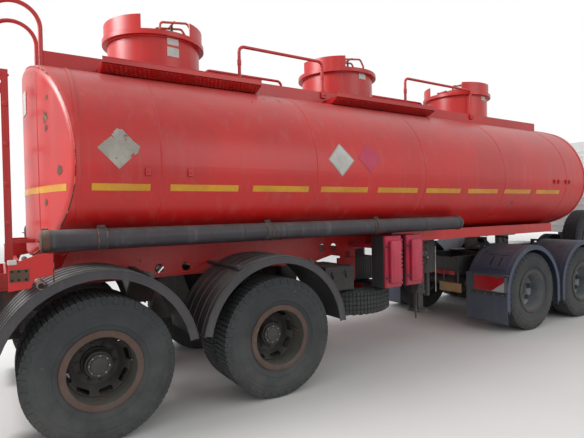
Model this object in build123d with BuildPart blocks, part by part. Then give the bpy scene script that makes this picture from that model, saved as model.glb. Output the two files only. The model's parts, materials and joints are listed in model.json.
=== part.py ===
"""Articulated tank lorry: a cab-over tractor with three axles and a two-axle tank semi-trailer.

Millimetres. X points forward, Y to the left, Z up. The origin is on the ground in the middle of the lorry.
"""
from build123d import *
from math import cos, hypot, radians, sin
import os

os.makedirs("parts", exist_ok=True)

# Stance, measured from the kingpin that joins the trailer to the tractor
kingpin_x = 900
trailer_rear_axle_x = kingpin_x - 6300
trailer_axle_spacing = 1523
trailer_front_axle_x = trailer_rear_axle_x + trailer_axle_spacing
drive_rear_axle_x = kingpin_x - 735
drive_axle_spacing = 1350
drive_front_axle_x = drive_rear_axle_x + drive_axle_spacing

# Tyres and rims
trailer_tyre_radius = 545
tractor_tyre_radius = 530
tyre_width = 290
twin_spacing = 335
twin_outer_y = 1250
steer_outer_y = 1190
bead_radius = 257
bead_width = 230
flange_radius = 298
flange_thickness = 12
rim_thickness = 12
hub_recess = 157
hub_radius = 105
drum_radius = 205
drum_width = 100
seat_fit = 0.3
axle_fit = 0.5

# Tank
tank_half_width = 1237
tank_middle_z = 2075
tank_rise = 931
tank_drop = 743
tank_upper_side = 864
tank_lower_side = 607
tank_rear_rim_x = trailer_rear_axle_x - 140
tank_length = 7140
tank_front_rim_x = tank_rear_rim_x + tank_length
dish_depth = 270
dish_knuckle = 70
bow_margin = 30
rim_bead = 6
rim_bead_width = 25
tank_fit = 0.3

# Spare wheel and cab, placed one behind the other ahead of the tank
wheel_stand_gap = 450
wheel_stand_x = tank_front_rim_x + dish_depth + wheel_stand_gap + tractor_tyre_radius
wheel_stand_y = 765
wheel_stand_z = 1090
cab_gap = 620
cab_rear_x = wheel_stand_x + tractor_tyre_radius + cab_gap
cab_rear_overhang = 815
steer_axle_x = cab_rear_x + cab_rear_overhang

# Necks and hatches
neck_first_x = trailer_rear_axle_x + 790
neck_pitch = 2395
neck_count = 3
neck_radius = 455
neck_flange_radius = 505
neck_flange_thickness = 45
neck_top_z = 3430
collar_radius = 255
collar_height = 45
lid_radius = 285
lid_thickness = 28
lid_hinge_x = -330
lid_pin_rise = 14
hinge_pin_radius = 9
hinge_fit = 0.05
guard_height = 140
guard_radius = 480
guard_thickness = 8

# Walkway on the tank's back
curb_y = 460
curb_top_z = 3075
curb_thickness = 8
curb_rear_x = trailer_rear_axle_x - 310
curb_front_x = trailer_rear_axle_x + 6970
side_plate_z = 2975
side_plate_width = 262
side_plate_thickness = 6
side_plate_lip = 45
rail_tube = 17
rail_height = 350
ladder_near_y = -464
ladder_width = 464
ladder_x = trailer_rear_axle_x - 555
ladder_bottom_z = 1240
ladder_top_z = 2880
ladder_bar = 50
ladder_bar_thickness = 12
rung_radius = 14
rung_pitch = 320
hoop_tube = 18
hoop_foot_x = trailer_rear_axle_x - 290
hoop_radius = 190
hoop_rise = 3255

# Hose cases along both sides
case_radius = 78
case_y = 1130
case_z = 1515
case_rear_x = trailer_rear_axle_x - 370
case_length = 4520

# Trailer frame
trailer_rail_y = 480
trailer_rail_width = 80
trailer_rail_bottom = 1115
trailer_web = 10
trailer_frame_rear_x = trailer_rear_axle_x - 790
trailer_frame_front_x = trailer_rear_axle_x + 3900
coupler_bottom = 1300
coupler_height = 130
coupler_half_width = 850
coupler_rear_x = trailer_rear_axle_x + 3300
coupler_front_x = kingpin_x + 450
pin_radius = 36
pin_length = 85
pin_clearance = 1
bumper_z = 480
bumper_height = 120
bumper_depth = 90

# Trailer running gear
axle_tube_radius = 65
trailer_spring_width = 90
fender_radius = 745
fender_thickness = 8
fender_lip = 65
fender_width = 650
flap_bottom_z = 200
leg_x = trailer_rear_axle_x + 3900
leg_y = 690
leg_width = 110
leg_wall = 12
leg_bottom_z = 400
spare_x = trailer_rear_axle_x + 2850
spare_y = -470
spare_z = 535

# Boxes on the trailer's right side
box_rows = [
    # rear X from the rear axle, front X from the rear axle
    (2870, 3120),
    (3190, 3440),
]
box_inner_y = 970
box_depth = 220
box_bottom_z = 845
box_top_z = 1405
box_lid_depth = 30
box_wall = 12
box_bracket_height = 40
tool_box_x = 2245
tool_box_length = 380

# Tractor frame
frame_rail_y = 425
frame_rail_height = 270
frame_rail_top = 985
frame_plate = 10
frame_flange = 80
frame_rear_x = drive_rear_axle_x - 560
frame_front_x = steer_axle_x + 1130
frame_rail_bottom = frame_rail_top - frame_rail_height
fifth_wheel_top = coupler_bottom - 0.5
fifth_wheel_thickness = 50
fifth_wheel_radius = 450

# Tractor fenders, tanks and lamps
arch_radius = 635
arch_thickness = 8
arch_inner_y = 640
arch_outer_y = 1265
arch_leg_z = 330
arch_lip = 55
tractor_flap_z = 150
lamp_panel_z = 800
fuel_tank_height = 560
fuel_tank_width = 520
fuel_tank_outer_y = 1220
fuel_tank_bottom_z = 400
fuel_tank_gap = 40

# Cab
cab_front_x = steer_axle_x + 1405
cab_half_width = 1220
cab_sill_z = 1150
cab_roof_z = 3050
cab_front_bottom_z = 985
cab_wall = 60
cab_floor_z = 1410
cab_floor_thickness = 50
cab_edge = 70
waist_z = 1960
screen_top_z = 2800
screen_bottom_x = cab_front_x - 40
screen_top_x = cab_front_x - 330
door_front_x = steer_axle_x + 1140
door_rear_x = steer_axle_x + 130
door_bottom_z = 1205
door_top_z = 2860
door_rake = 220
door_gap = 6
roof_seam_rise = 40
window_margin = 90
glass_thickness = 6
glass_fit = 0.3
tilt_x = cab_front_x - 120
tilt_z = 1000
cab_apron_half = 1155
tilt_pin_radius = 25
wheel_arch_radius = 660


def block(x, y, z, mode=Mode.ADD):
    """Box between two values on each axis, added to the part being built."""
    with Locations(((x[0] + x[1]) / 2, (y[0] + y[1]) / 2, (z[0] + z[1]) / 2)):
        Box(abs(x[1] - x[0]), abs(y[1] - y[0]), abs(z[1] - z[0]), mode=mode)


def plate(points, y, mode=Mode.ADD):
    """Outline in X and Z, between two values of Y."""
    with BuildSketch(Plane.XZ.offset(-max(y))) as shape:
        with BuildLine():
            Polyline(*points, close=True)
        make_face()
    extrude(shape.sketch, amount=max(y) - min(y), mode=mode)


def drum(x, y, z, radius, mode=Mode.ADD):
    """Round bar across the lorry, between two values of Y."""
    with BuildSketch(Plane.XZ.offset(-max(y))) as shape:
        with Locations((x, z)):
            Circle(radius)
    extrude(shape.sketch, amount=max(y) - min(y), mode=mode)


def post(x, y, z, radius, mode=Mode.ADD):
    """Upright round bar, between two heights."""
    with BuildSketch(Plane.XY.offset(min(z))) as shape:
        with Locations((x, y)):
            Circle(radius)
    extrude(shape.sketch, amount=max(z) - min(z), mode=mode)


def pipe(points, radius, bend):
    """Round bar along straight runs joined by arcs."""
    with BuildLine() as path:
        FilletPolyline(*points, radius=bend)
    with BuildSketch(Plane(origin=path.line @ 0, z_dir=path.line % 0)) as section:
        Circle(radius)
    sweep(section.sketch, path=path.line)


def save(part, name):
    """Label one finished piece and write it."""
    part.label = name
    export_step(part, f"parts/{name}.step")


def crown(height, side_radius, grow):
    """Where a flat arc meets a side arc, as (out from the middle, up from the middle)."""
    side_y = tank_half_width - side_radius
    radius = (side_y**2 + height**2 - side_radius**2) / (2 * (height - side_radius))
    slope = hypot(side_y, radius - height)
    reach = (radius + grow) / slope
    return reach * side_y, reach * (radius - height) - radius + height


def oval(grow):
    """Tank section moved out by a distance: tangent arcs, flat above and below and round at the sides."""
    half = tank_half_width + grow
    upper_y, upper_rise = crown(tank_rise, tank_upper_side, grow)
    lower_y, lower_drop = crown(tank_drop, tank_lower_side, grow)
    top = (0, tank_middle_z + tank_rise + grow)
    bottom = (0, tank_middle_z - tank_drop - grow)
    high = tank_middle_z + upper_rise
    low = tank_middle_z - lower_drop
    with BuildLine() as outline:
        ThreePointArc((-upper_y, high), top, (upper_y, high))
        TangentArc((half, tank_middle_z), (upper_y, high), tangent=(0, 1))
        TangentArc((half, tank_middle_z), (lower_y, low), tangent=(0, -1))
        ThreePointArc((lower_y, low), bottom, (-lower_y, low))
        TangentArc((-half, tank_middle_z), (-lower_y, low), tangent=(0, -1))
        TangentArc((-half, tank_middle_z), (-upper_y, high), tangent=(0, 1))
    make_face(outline.edges())


def tank_form(grow):
    """Barrel whose ends bow outwards in plan, moved out by a distance."""
    rear = tank_rear_rim_x - grow
    front = tank_front_rim_x + grow
    bow_y = tank_half_width + bow_margin
    with BuildSketch(Plane.YZ.offset(rear - dish_depth)) as section:
        oval(grow)
    with BuildSketch(Plane.XY.offset(tank_middle_z - tank_half_width)) as plan:
        with BuildLine():
            ThreePointArc((rear, -bow_y), (rear - dish_depth, 0), (rear, bow_y))
            Line((rear, bow_y), (front, bow_y))
            ThreePointArc((front, bow_y), (front + dish_depth, 0), (front, -bow_y))
            Line((front, -bow_y), (rear, -bow_y))
        make_face()
    barrel = extrude(section.sketch, amount=front - rear + 2 * dish_depth, mode=Mode.PRIVATE)
    return barrel & extrude(plan.sketch, amount=2 * tank_half_width, mode=Mode.PRIVATE)


def bead_space(rim_x):
    """Cut the raised bead at one rim of the tank, and a small fit around it, out of the part being built."""
    with BuildSketch(Plane.YZ.offset(rim_x - tank_fit)) as space:
        oval(rim_bead + tank_fit)
    extrude(space.sketch, amount=rim_bead_width + 2 * tank_fit, mode=Mode.SUBTRACT)


def turned(points, axle_x, axle_z, side, outer_y):
    """Ring or disc about a wheel's axle, from points (inward from the tyre's face, out from the axle)."""
    with BuildSketch(Plane.YZ.offset(axle_x)) as section:
        with BuildLine():
            Polyline(*[(side * (outer_y - inward), axle_z + out) for inward, out in points], close=True)
        make_face()
    revolve(section.sketch, axis=Axis((axle_x, 0, axle_z), (0, 1, 0)))


def lying(points, x, y, z):
    """Ring or disc lying flat about an upright line, from points given as (up from its lower face, out)."""
    with BuildSketch(Plane.XZ.offset(-y)) as section:
        with BuildLine():
            Polyline(*[(x + out, z + up) for up, out in points], close=True)
        make_face()
    revolve(section.sketch, axis=Axis((x, y, z), (0, 0, 1)))


def tyre_bands(radius):
    """Tyre section as points (inward from its outer face, out from the axle), from bead to tread and back."""
    half = tyre_width / 2
    bands = [
        # across from the tyre's middle, out from the axle
        (bead_width / 2, bead_radius + seat_fit),
        (bead_width / 2, flange_radius + 6),
        (half, (radius + bead_radius) / 2 + 15),
        (half - 10, radius - 55),
        (half - 30, radius - 10),
        (half - 85, radius),
    ]
    near = [(half - across, out) for across, out in bands]
    far = [(half + across, out) for across, out in reversed(bands)]
    return near + far


# Wheels: tyres as bands, rims turned with their dish, hub and drum
bead_inset = (tyre_width - bead_width) / 2
barrel_radius = bead_radius - rim_thickness
twin_end = bead_inset + twin_spacing + bead_width
twin_disc = (tyre_width + twin_spacing) / 2
twin_rim = [
    # inward from the tyre's face, out from the axle: hub cap, hub, disc, dish, lip, seats, drum
    (hub_recess, 0),
    (hub_recess, hub_radius - 25),
    (hub_recess + 20, hub_radius),
    (twin_disc - 12, hub_radius + 5),
    (twin_disc - 12, hub_radius + 70),
    (hub_recess + 25, barrel_radius),
    (bead_inset - flange_thickness, barrel_radius + 6),
    (bead_inset - flange_thickness, flange_radius),
    (bead_inset - seat_fit, flange_radius),
    (bead_inset - seat_fit, bead_radius),
    (twin_end, bead_radius),
    (twin_end, barrel_radius),
    (twin_end - drum_width, barrel_radius),
    (twin_end - drum_width, drum_radius),
    (twin_end - 15, drum_radius),
    (twin_end - 15, 0),
]
steer_disc = 75
steer_drum_end = steer_disc + 120
steer_rim = [
    # inward from the tyre's face, out from the axle: hub cap, hub, disc, lip, seat, drum
    (-15, 0),
    (-15, hub_radius - 35),
    (20, hub_radius),
    (steer_disc - 25, hub_radius + 10),
    (steer_disc - 25, hub_radius + 80),
    (steer_disc, barrel_radius),
    (bead_inset - flange_thickness, barrel_radius + 6),
    (bead_inset - flange_thickness, flange_radius),
    (bead_inset - seat_fit, flange_radius),
    (bead_inset - seat_fit, bead_radius),
    (bead_inset + bead_width, bead_radius),
    (bead_inset + bead_width, barrel_radius),
    (steer_disc + 25, barrel_radius),
    (steer_disc + 25, drum_radius),
    (steer_drum_end, drum_radius),
    (steer_drum_end, 0),
]
spare_disc = 150
spare_rim = [
    # inward from the tyre's face, out from the middle: lip, seat, disc
    (bead_inset - flange_thickness, barrel_radius),
    (bead_inset - flange_thickness, flange_radius),
    (bead_inset - seat_fit, flange_radius),
    (bead_inset - seat_fit, bead_radius),
    (bead_inset + bead_width, bead_radius),
    (bead_inset + bead_width, barrel_radius),
    (spare_disc + rim_thickness, barrel_radius),
    (spare_disc + rim_thickness, 0),
    (spare_disc, 0),
    (spare_disc, barrel_radius),
]
twin_wheels = [
    # name, axle X, tyre radius
    ("trailer_rear", trailer_rear_axle_x, trailer_tyre_radius),
    ("trailer_front", trailer_front_axle_x, trailer_tyre_radius),
    ("drive_rear", drive_rear_axle_x, tractor_tyre_radius),
    ("drive_front", drive_front_axle_x, tractor_tyre_radius),
]
sides = [
    # name, side of the lorry
    ("left", 1),
    ("right", -1),
]
for place, axle_x, radius in twin_wheels:
    for side_name, side in sides:
        with BuildPart() as twin_tyres:
            turned(tyre_bands(radius), axle_x, radius, side, twin_outer_y)
            turned(tyre_bands(radius), axle_x, radius, side, twin_outer_y - twin_spacing)
        save(twin_tyres.part, f"{place}_tyres_{side_name}")
        with BuildPart() as twin_rims:
            turned(twin_rim, axle_x, radius, side, twin_outer_y)
        save(twin_rims.part, f"{place}_rims_{side_name}")
for side_name, side in sides:
    with BuildPart() as steer_tyre:
        turned(tyre_bands(tractor_tyre_radius), steer_axle_x, tractor_tyre_radius, side, steer_outer_y)
    save(steer_tyre.part, f"steer_tyre_{side_name}")
    with BuildPart() as steer_wheel:
        turned(steer_rim, steer_axle_x, tractor_tyre_radius, side, steer_outer_y)
    save(steer_wheel.part, f"steer_rim_{side_name}")

# Steering knuckles: upright post, spindle into the hub and an arm to the rear
steer_hub_y = steer_outer_y - steer_drum_end
post_y = steer_hub_y - 75
post_radius = 42
post_half = 115
arm_length = 190
arm_height = 35
for side_name, side in sides:
    with BuildPart() as knuckle:
        post(
            steer_axle_x,
            side * post_y,
            (tractor_tyre_radius - post_half, tractor_tyre_radius + post_half),
            post_radius,
        )
        drum(steer_axle_x, (side * post_y, side * (steer_hub_y - axle_fit)), tractor_tyre_radius, 55)
        block(
            (steer_axle_x - arm_length, steer_axle_x),
            (side * (post_y - 20), side * (post_y + 20)),
            (tractor_tyre_radius - post_half, tractor_tyre_radius - post_half + arm_height),
        )
    save(knuckle.part, f"knuckle_{side_name}")

# Tractor axles, first the front one: dropped beam with forked ends, and a leaf spring under each rail
fork_gap = 0.5
fork_thickness = 35
beam_z = tractor_tyre_radius - 105
spring_y = frame_rail_y - 45
spring_reach = 800
drive_axle_end = twin_outer_y - twin_end + 15 - axle_fit
drive_mid_x = (drive_rear_axle_x + drive_front_axle_x) / 2
drive_spring_y = 500
shaft_front_x = steer_axle_x - 1300
with BuildPart() as tractor_axles:
    block((steer_axle_x - 50, steer_axle_x + 50), (100 - post_y, post_y - 100), (beam_z - 55, beam_z + 55))
    for side_name, side in sides:
        for level in (1, -1):
            face = tractor_tyre_radius + level * (post_half + fork_gap)
            block(
                (steer_axle_x - 45, steer_axle_x + 45),
                (side * (post_y - 130), side * (post_y + 45)),
                (face, face + level * fork_thickness),
            )
        block(
            (steer_axle_x - 45, steer_axle_x + 45),
            (side * (post_y - 130), side * (post_y - 80)),
            (beam_z - 55, tractor_tyre_radius + post_half + fork_gap + fork_thickness),
        )
        plate(
            [
                (steer_axle_x - spring_reach, frame_rail_bottom - 55),
                (steer_axle_x - 90, beam_z + 55),
                (steer_axle_x + 90, beam_z + 55),
                (steer_axle_x + spring_reach, frame_rail_bottom - 55),
                (steer_axle_x + spring_reach, frame_rail_bottom - 35),
                (steer_axle_x + 90, beam_z + 130),
                (steer_axle_x - 90, beam_z + 130),
                (steer_axle_x - spring_reach, frame_rail_bottom - 35),
            ],
            (side * spring_y - 40, side * spring_y + 40),
        )
        for end in (-1, 1):
            block(
                (steer_axle_x + end * (spring_reach - 60), steer_axle_x + end * (spring_reach + 30)),
                (side * spring_y - 45, side * spring_y + 45),
                (frame_rail_bottom - 90, frame_rail_bottom),
            )

    # Drive axles: housings with round differentials, a shaft between them and trunnion spring packs
    for axle_x in (drive_rear_axle_x, drive_front_axle_x):
        drum(axle_x, (-drive_axle_end, drive_axle_end), tractor_tyre_radius, 80)
        with Locations((axle_x, 0, tractor_tyre_radius)):
            Sphere(185)
    with BuildSketch(Plane.YZ.offset(drive_rear_axle_x)):
        with Locations((0, tractor_tyre_radius + 40)):
            Circle(45)
    extrude(amount=shaft_front_x - drive_rear_axle_x)
    for side_name, side in sides:
        spring_side = (side * drive_spring_y - 40, side * drive_spring_y + 40)
        plate(
            [
                (drive_rear_axle_x - 70, tractor_tyre_radius + 60),
                (drive_mid_x - 120, tractor_tyre_radius + 40),
                (drive_mid_x + 120, tractor_tyre_radius + 40),
                (drive_front_axle_x + 70, tractor_tyre_radius + 60),
                (drive_front_axle_x + 70, tractor_tyre_radius + 95),
                (drive_mid_x + 120, tractor_tyre_radius + 150),
                (drive_mid_x - 120, tractor_tyre_radius + 150),
                (drive_rear_axle_x - 70, tractor_tyre_radius + 95),
            ],
            spring_side,
        )
        block(
            (drive_mid_x - 90, drive_mid_x + 90),
            (side * frame_rail_y, side * (drive_spring_y + 40)),
            (tractor_tyre_radius - 60, frame_rail_bottom + 120),
        )
save(tractor_axles.part, "tractor_axles")

# Engine and gearbox as one plain block between the rails, on feet over the rail tops
engine_rear_x = steer_axle_x - 465
engine_length = 1200
engine_half_width = 320
engine_bottom_z = 620
engine_top_z = 1330
foot_height = 30
with BuildPart() as engine:
    block(
        (engine_rear_x, engine_rear_x + engine_length),
        (-engine_half_width, engine_half_width),
        (engine_bottom_z, engine_top_z),
    )
    block((shaft_front_x + axle_fit, engine_rear_x), (-180, 180), (460, 940))
    for x in (engine_rear_x + 150, engine_rear_x + engine_length - 150):
        foot_z = (frame_rail_top + axle_fit, frame_rail_top + foot_height)
        block((x - 60, x + 60), (-frame_rail_y, frame_rail_y), foot_z)
save(engine.part, "engine")

# Tractor frame: two channel rails, cross members, and brackets that carry the cab
cross_members = [
    # X, length along X, lower Z, upper Z
    (frame_rear_x + 60, 80, frame_rail_bottom + 20, frame_rail_top - 20),
    (kingpin_x - 300, 90, frame_rail_bottom + 60, frame_rail_top - 10),
    (kingpin_x + 350, 90, frame_rail_bottom + 60, frame_rail_top - 10),
    (drive_front_axle_x + 1100, 90, frame_rail_bottom + 60, frame_rail_top - 10),
    (frame_front_x - 60, 90, frame_rail_bottom + 20, frame_rail_top - 20),
]
with BuildPart() as tractor_frame:
    for side_name, side in sides:
        outer = side * frame_rail_y
        web = (outer, side * (frame_rail_y - frame_plate))
        flange = (outer, side * (frame_rail_y - frame_flange))
        block((frame_rear_x, frame_front_x), web, (frame_rail_bottom, frame_rail_top))
        block((frame_rear_x, frame_front_x), flange, (frame_rail_bottom, frame_rail_bottom + frame_plate))
        block((frame_rear_x, frame_front_x), flange, (frame_rail_top - frame_plate, frame_rail_top))
        plate(
            [
                (frame_front_x - 120, frame_rail_bottom + 60),
                (frame_front_x, frame_rail_bottom + 60),
                (tilt_x - 30, tilt_z - 60),
                (tilt_x + 38, tilt_z - 32),
                (tilt_x + 38, tilt_z + 38),
                (tilt_x - 38, tilt_z + 38),
                (frame_front_x - 120, frame_rail_top),
            ],
            (side * (frame_rail_y - 35), outer),
        )
        block(
            (cab_rear_x + 60, cab_rear_x + 150),
            (side * (frame_rail_y - 90), outer),
            (frame_rail_top, cab_floor_z - cab_floor_thickness - axle_fit),
        )
    drum(tilt_x, (-frame_rail_y - 60, frame_rail_y + 60), tilt_z, tilt_pin_radius)
    block(
        (wheel_stand_x - 130, wheel_stand_x + 130),
        (-frame_rail_y - 12, -frame_rail_y),
        (frame_rail_bottom + 80, wheel_stand_z + 80),
    )
    drum(wheel_stand_x, (-frame_rail_y, spare_disc + rim_thickness / 2 - wheel_stand_y), wheel_stand_z, 80)
    turned(spare_rim, wheel_stand_x, wheel_stand_z, -1, wheel_stand_y)
    between_webs = (-frame_rail_y + frame_plate, frame_rail_y - frame_plate)
    for x, length, low, high in cross_members:
        block((x - length / 2, x + length / 2), between_webs, (low, high))
save(tractor_frame.part, "tractor_frame")

# Fifth wheel: greased plate with a slot for the pin, on a pedestal across the rails
with BuildPart() as fifth_wheel:
    with BuildSketch(Plane.XY.offset(fifth_wheel_top - fifth_wheel_thickness)):
        with Locations((kingpin_x, 0)):
            Circle(fifth_wheel_radius)
            Circle(pin_radius + pin_clearance, mode=Mode.SUBTRACT)
        with BuildLine():
            Polyline(
                (kingpin_x, pin_radius + pin_clearance),
                (kingpin_x - fifth_wheel_radius, 160),
                (kingpin_x - fifth_wheel_radius - 60, 160),
                (kingpin_x - fifth_wheel_radius - 60, -160),
                (kingpin_x - fifth_wheel_radius, -160),
                (kingpin_x, -pin_radius - pin_clearance),
                close=True,
            )
        make_face(mode=Mode.SUBTRACT)
    extrude(amount=fifth_wheel_thickness)
    for side_name, side in sides:
        block(
            (kingpin_x - 120, kingpin_x + 120),
            (side * 250, side * 330),
            (frame_rail_top + 15, fifth_wheel_top - fifth_wheel_thickness),
        )
        block(
            (kingpin_x - 420, kingpin_x + 420),
            (side * (frame_rail_y - frame_flange - 110), side * frame_rail_y),
            (frame_rail_top, frame_rail_top + 15),
        )
    block((kingpin_x - 120, kingpin_x + 120), (-330, 330), (frame_rail_top + 15, frame_rail_top + 60))
save(fifth_wheel.part, "fifth_wheel")

# Rear fenders of the tractor: arches with straight legs, an outer lip, stays to the frame and a flap behind
with BuildPart() as tractor_fenders:
    for side_name, side in sides:
        for axle_x in (drive_rear_axle_x, drive_front_axle_x):
            with BuildSketch(Plane.XZ.offset(-side * arch_inner_y)):
                with Locations((axle_x, tractor_tyre_radius)):
                    Circle(arch_radius)
                with Locations((axle_x, (tractor_tyre_radius + arch_leg_z) / 2)):
                    Rectangle(2 * arch_radius, tractor_tyre_radius - arch_leg_z)
                with Locations((axle_x, tractor_tyre_radius)):
                    Circle(arch_radius - arch_thickness, mode=Mode.SUBTRACT)
                with Locations((axle_x, arch_leg_z - arch_radius + tractor_tyre_radius - arch_leg_z)):
                    Rectangle(2 * (arch_radius - arch_thickness), 2 * arch_radius, mode=Mode.SUBTRACT)
            extrude(amount=-side * (arch_outer_y - arch_inner_y))
            with BuildSketch(Plane.XZ.offset(-side * (arch_outer_y - arch_thickness))):
                with Locations((axle_x, tractor_tyre_radius)):
                    Circle(arch_radius)
                with Locations((axle_x, (tractor_tyre_radius + arch_leg_z) / 2)):
                    Rectangle(2 * arch_radius, tractor_tyre_radius - arch_leg_z)
                with Locations((axle_x, tractor_tyre_radius)):
                    Circle(arch_radius - arch_lip, mode=Mode.SUBTRACT)
                with Locations((axle_x, tractor_tyre_radius - arch_radius)):
                    Rectangle(2 * (arch_radius - arch_lip), 2 * arch_radius, mode=Mode.SUBTRACT)
            extrude(amount=-side * arch_thickness)
            stay_top = tractor_tyre_radius + arch_radius - arch_thickness
            block(
                (axle_x - 25, axle_x + 25),
                (side * frame_rail_y, side * arch_outer_y),
                (stay_top - 30, stay_top),
            )
            block(
                (axle_x - 25, axle_x + 25),
                (side * frame_rail_y, side * (frame_rail_y + 40)),
                (frame_rail_top - 120, stay_top),
            )
        block(
            (drive_rear_axle_x - arch_radius, drive_rear_axle_x - arch_radius + arch_thickness),
            (side * arch_inner_y, side * arch_outer_y),
            (tractor_flap_z, lamp_panel_z),
        )
        block(
            (drive_rear_axle_x - arch_radius, drive_rear_axle_x - arch_radius + 80),
            (side * arch_inner_y, side * arch_outer_y),
            (lamp_panel_z - arch_thickness, lamp_panel_z),
        )
save(tractor_fenders.part, "tractor_fenders")

# Tail lamps in the back of the rear fenders, and a blank plate on the frame's end
lamp_depth = 40
with BuildPart() as tail_lamps:
    for side_name, side in sides:
        block(
            (drive_rear_axle_x - arch_radius - lamp_depth, drive_rear_axle_x - arch_radius),
            (side * 790, side * 1250),
            (580, 780),
        )
    block(
        (frame_rear_x - 12, frame_rear_x),
        (-frame_rail_y + 25, -25),
        (frame_rail_bottom, frame_rail_bottom + 60),
    )
save(tail_lamps.part, "tail_lamps")

# Fuel tanks hung on straps from the rails, the long one on the left
tank_rows = [
    # side of the lorry, rear X, length
    (1, drive_front_axle_x + 840, 1250),
    (-1, wheel_stand_x + tractor_tyre_radius + fuel_tank_gap, 600),
]
with BuildPart() as fuel_tanks:
    for side, rear_x, length in tank_rows:
        middle = (side * (fuel_tank_outer_y - fuel_tank_width / 2), fuel_tank_bottom_z + fuel_tank_height / 2)
        with BuildSketch(Plane.YZ.offset(rear_x)):
            with Locations(middle):
                RectangleRounded(fuel_tank_width, fuel_tank_height, 110)
        extrude(amount=length)
        for x in (rear_x + length / 5, rear_x + length * 4 / 5):
            with BuildSketch(Plane.YZ.offset(x - 30)):
                with Locations(middle):
                    RectangleRounded(fuel_tank_width + 12, fuel_tank_height + 12, 116)
            extrude(amount=60)
            block(
                (x - 30, x + 30),
                (side * frame_rail_y, side * (fuel_tank_outer_y - fuel_tank_width + 40)),
                (frame_rail_bottom + 20, frame_rail_bottom + 150),
            )
save(fuel_tanks.part, "fuel_tanks")

# Spare tyre standing beside the right rail, round the rim on the frame's rack
with BuildPart() as tractor_spare:
    turned(tyre_bands(tractor_tyre_radius), wheel_stand_x, wheel_stand_z, -1, wheel_stand_y)
save(tractor_spare.part, "tractor_spare_tyre")

# Front bumper: hollow shell with its lamp pockets, open on top so that the cab can tip into it
bumper_front_x = cab_front_x + 60
bumper_top_z = 940
bumper_bottom_z = 330
bumper_wall = 15
bumper_length = 420
bumper_corner = 120
lamp_inner_y = 760
lamp_outer_y = 1150
lamp_low_z = 500
lamp_high_z = 700
with BuildPart() as front_bumper:
    with BuildSketch(Plane.XY.offset(bumper_bottom_z)):
        with Locations((bumper_front_x - bumper_length, 0)):
            RectangleRounded(2 * bumper_length, 2 * cab_half_width, bumper_corner)
            RectangleRounded(
                2 * (bumper_length - bumper_wall),
                2 * (cab_half_width - bumper_wall),
                bumper_corner - bumper_wall,
                mode=Mode.SUBTRACT,
            )
        with Locations((bumper_front_x - 2 * bumper_length, 0)):
            Rectangle(2 * bumper_length, 2 * cab_half_width, mode=Mode.SUBTRACT)
    extrude(amount=bumper_top_z - bumper_bottom_z)
    for side_name, side in sides:
        block(
            (bumper_front_x - 60, bumper_front_x + 10),
            (side * lamp_inner_y, side * lamp_outer_y),
            (lamp_low_z, lamp_high_z),
            mode=Mode.SUBTRACT,
        )
        block(
            (frame_front_x, bumper_front_x - bumper_wall),
            (side * (frame_rail_y - frame_flange), side * frame_rail_y),
            (frame_rail_bottom, frame_rail_bottom + 60),
        )
    block((bumper_front_x - 80, bumper_front_x - bumper_wall), (-700, 700), (540, 600))
    block((bumper_front_x - bumper_wall - 1, bumper_front_x + 1), (-560, 560), (400, 480), mode=Mode.SUBTRACT)
save(front_bumper.part, "front_bumper")
with BuildPart() as headlamps:
    for side_name, side in sides:
        block(
            (bumper_front_x - 70, bumper_front_x - 2),
            (side * (lamp_inner_y + seat_fit), side * (lamp_outer_y - seat_fit)),
            (lamp_low_z + seat_fit, lamp_high_z - seat_fit),
        )
save(headlamps.part, "headlamps")

# Boarding steps and inner arches beside the front wheels
step_rear_x = steer_axle_x + 640
step_front_x = bumper_front_x - bumper_length - 6
with BuildPart() as cab_steps:
    for side_name, side in sides:
        block((step_rear_x, step_front_x), (side * 930, side * 950), (350, 1080))
        block((step_rear_x, step_rear_x + 15), (side * 930, side * 1215), (350, 1080))
        for z in (380, 700, 1020):
            block((step_rear_x, step_front_x), (side * 930, side * 1215), (z, z + 35))
        block(
            (step_rear_x + 100, step_rear_x + 180),
            (side * frame_rail_y, side * 930),
            (frame_rail_bottom + 40, frame_rail_bottom + 120),
        )
save(cab_steps.part, "cab_steps")

# Cab: outer form with soft edges, hollow above the floor and open below it; the roof is its own panel
cab_side = [
    (cab_rear_x, cab_sill_z),
    (cab_rear_x, cab_roof_z - 60),
    (cab_rear_x + 500, cab_roof_z),
    (screen_top_x - 250, cab_roof_z),
    (screen_top_x, screen_top_z + 60),
    (screen_top_x + 20, screen_top_z),
    (screen_bottom_x, waist_z),
    (cab_front_x, waist_z - 200),
    (cab_front_x, cab_sill_z),
]
cabin_inside = [
    (cab_rear_x + cab_wall, cab_floor_z),
    (cab_rear_x + cab_wall, cab_roof_z - 60 - cab_wall),
    (cab_rear_x + 500, cab_roof_z - cab_wall),
    (screen_top_x - 250 - 20, cab_roof_z - cab_wall),
    (screen_top_x - cab_wall, screen_top_z + 20),
    (screen_bottom_x - cab_wall, waist_z),
    (cab_front_x - cab_wall, waist_z - 200),
    (cab_front_x - cab_wall, cab_floor_z),
]
door_outline = [
    (door_rear_x, door_bottom_z),
    (door_rear_x, door_top_z),
    (door_front_x - door_rake, door_top_z),
    (door_front_x, waist_z),
    (door_front_x, door_bottom_z),
]
window_outline = [
    (door_rear_x + window_margin, waist_z),
    (door_rear_x + window_margin, door_top_z - window_margin),
    (door_front_x - door_rake - window_margin, door_top_z - window_margin),
    (door_front_x - window_margin - 20, waist_z),
]
cabin_half_width = cab_half_width - cab_wall
hinge_y = cab_half_width + 16
hinge_x = door_front_x + door_gap / 2
hinge_heights = [1420, 1850]
hinge_half = 25
hinge_notch = 30
tilt_lug_half = 14
screen_width = 2 * cabin_half_width - 60
screen_height = screen_top_z - waist_z - 60
screen_corner = 60
screen_cut = 500


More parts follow.
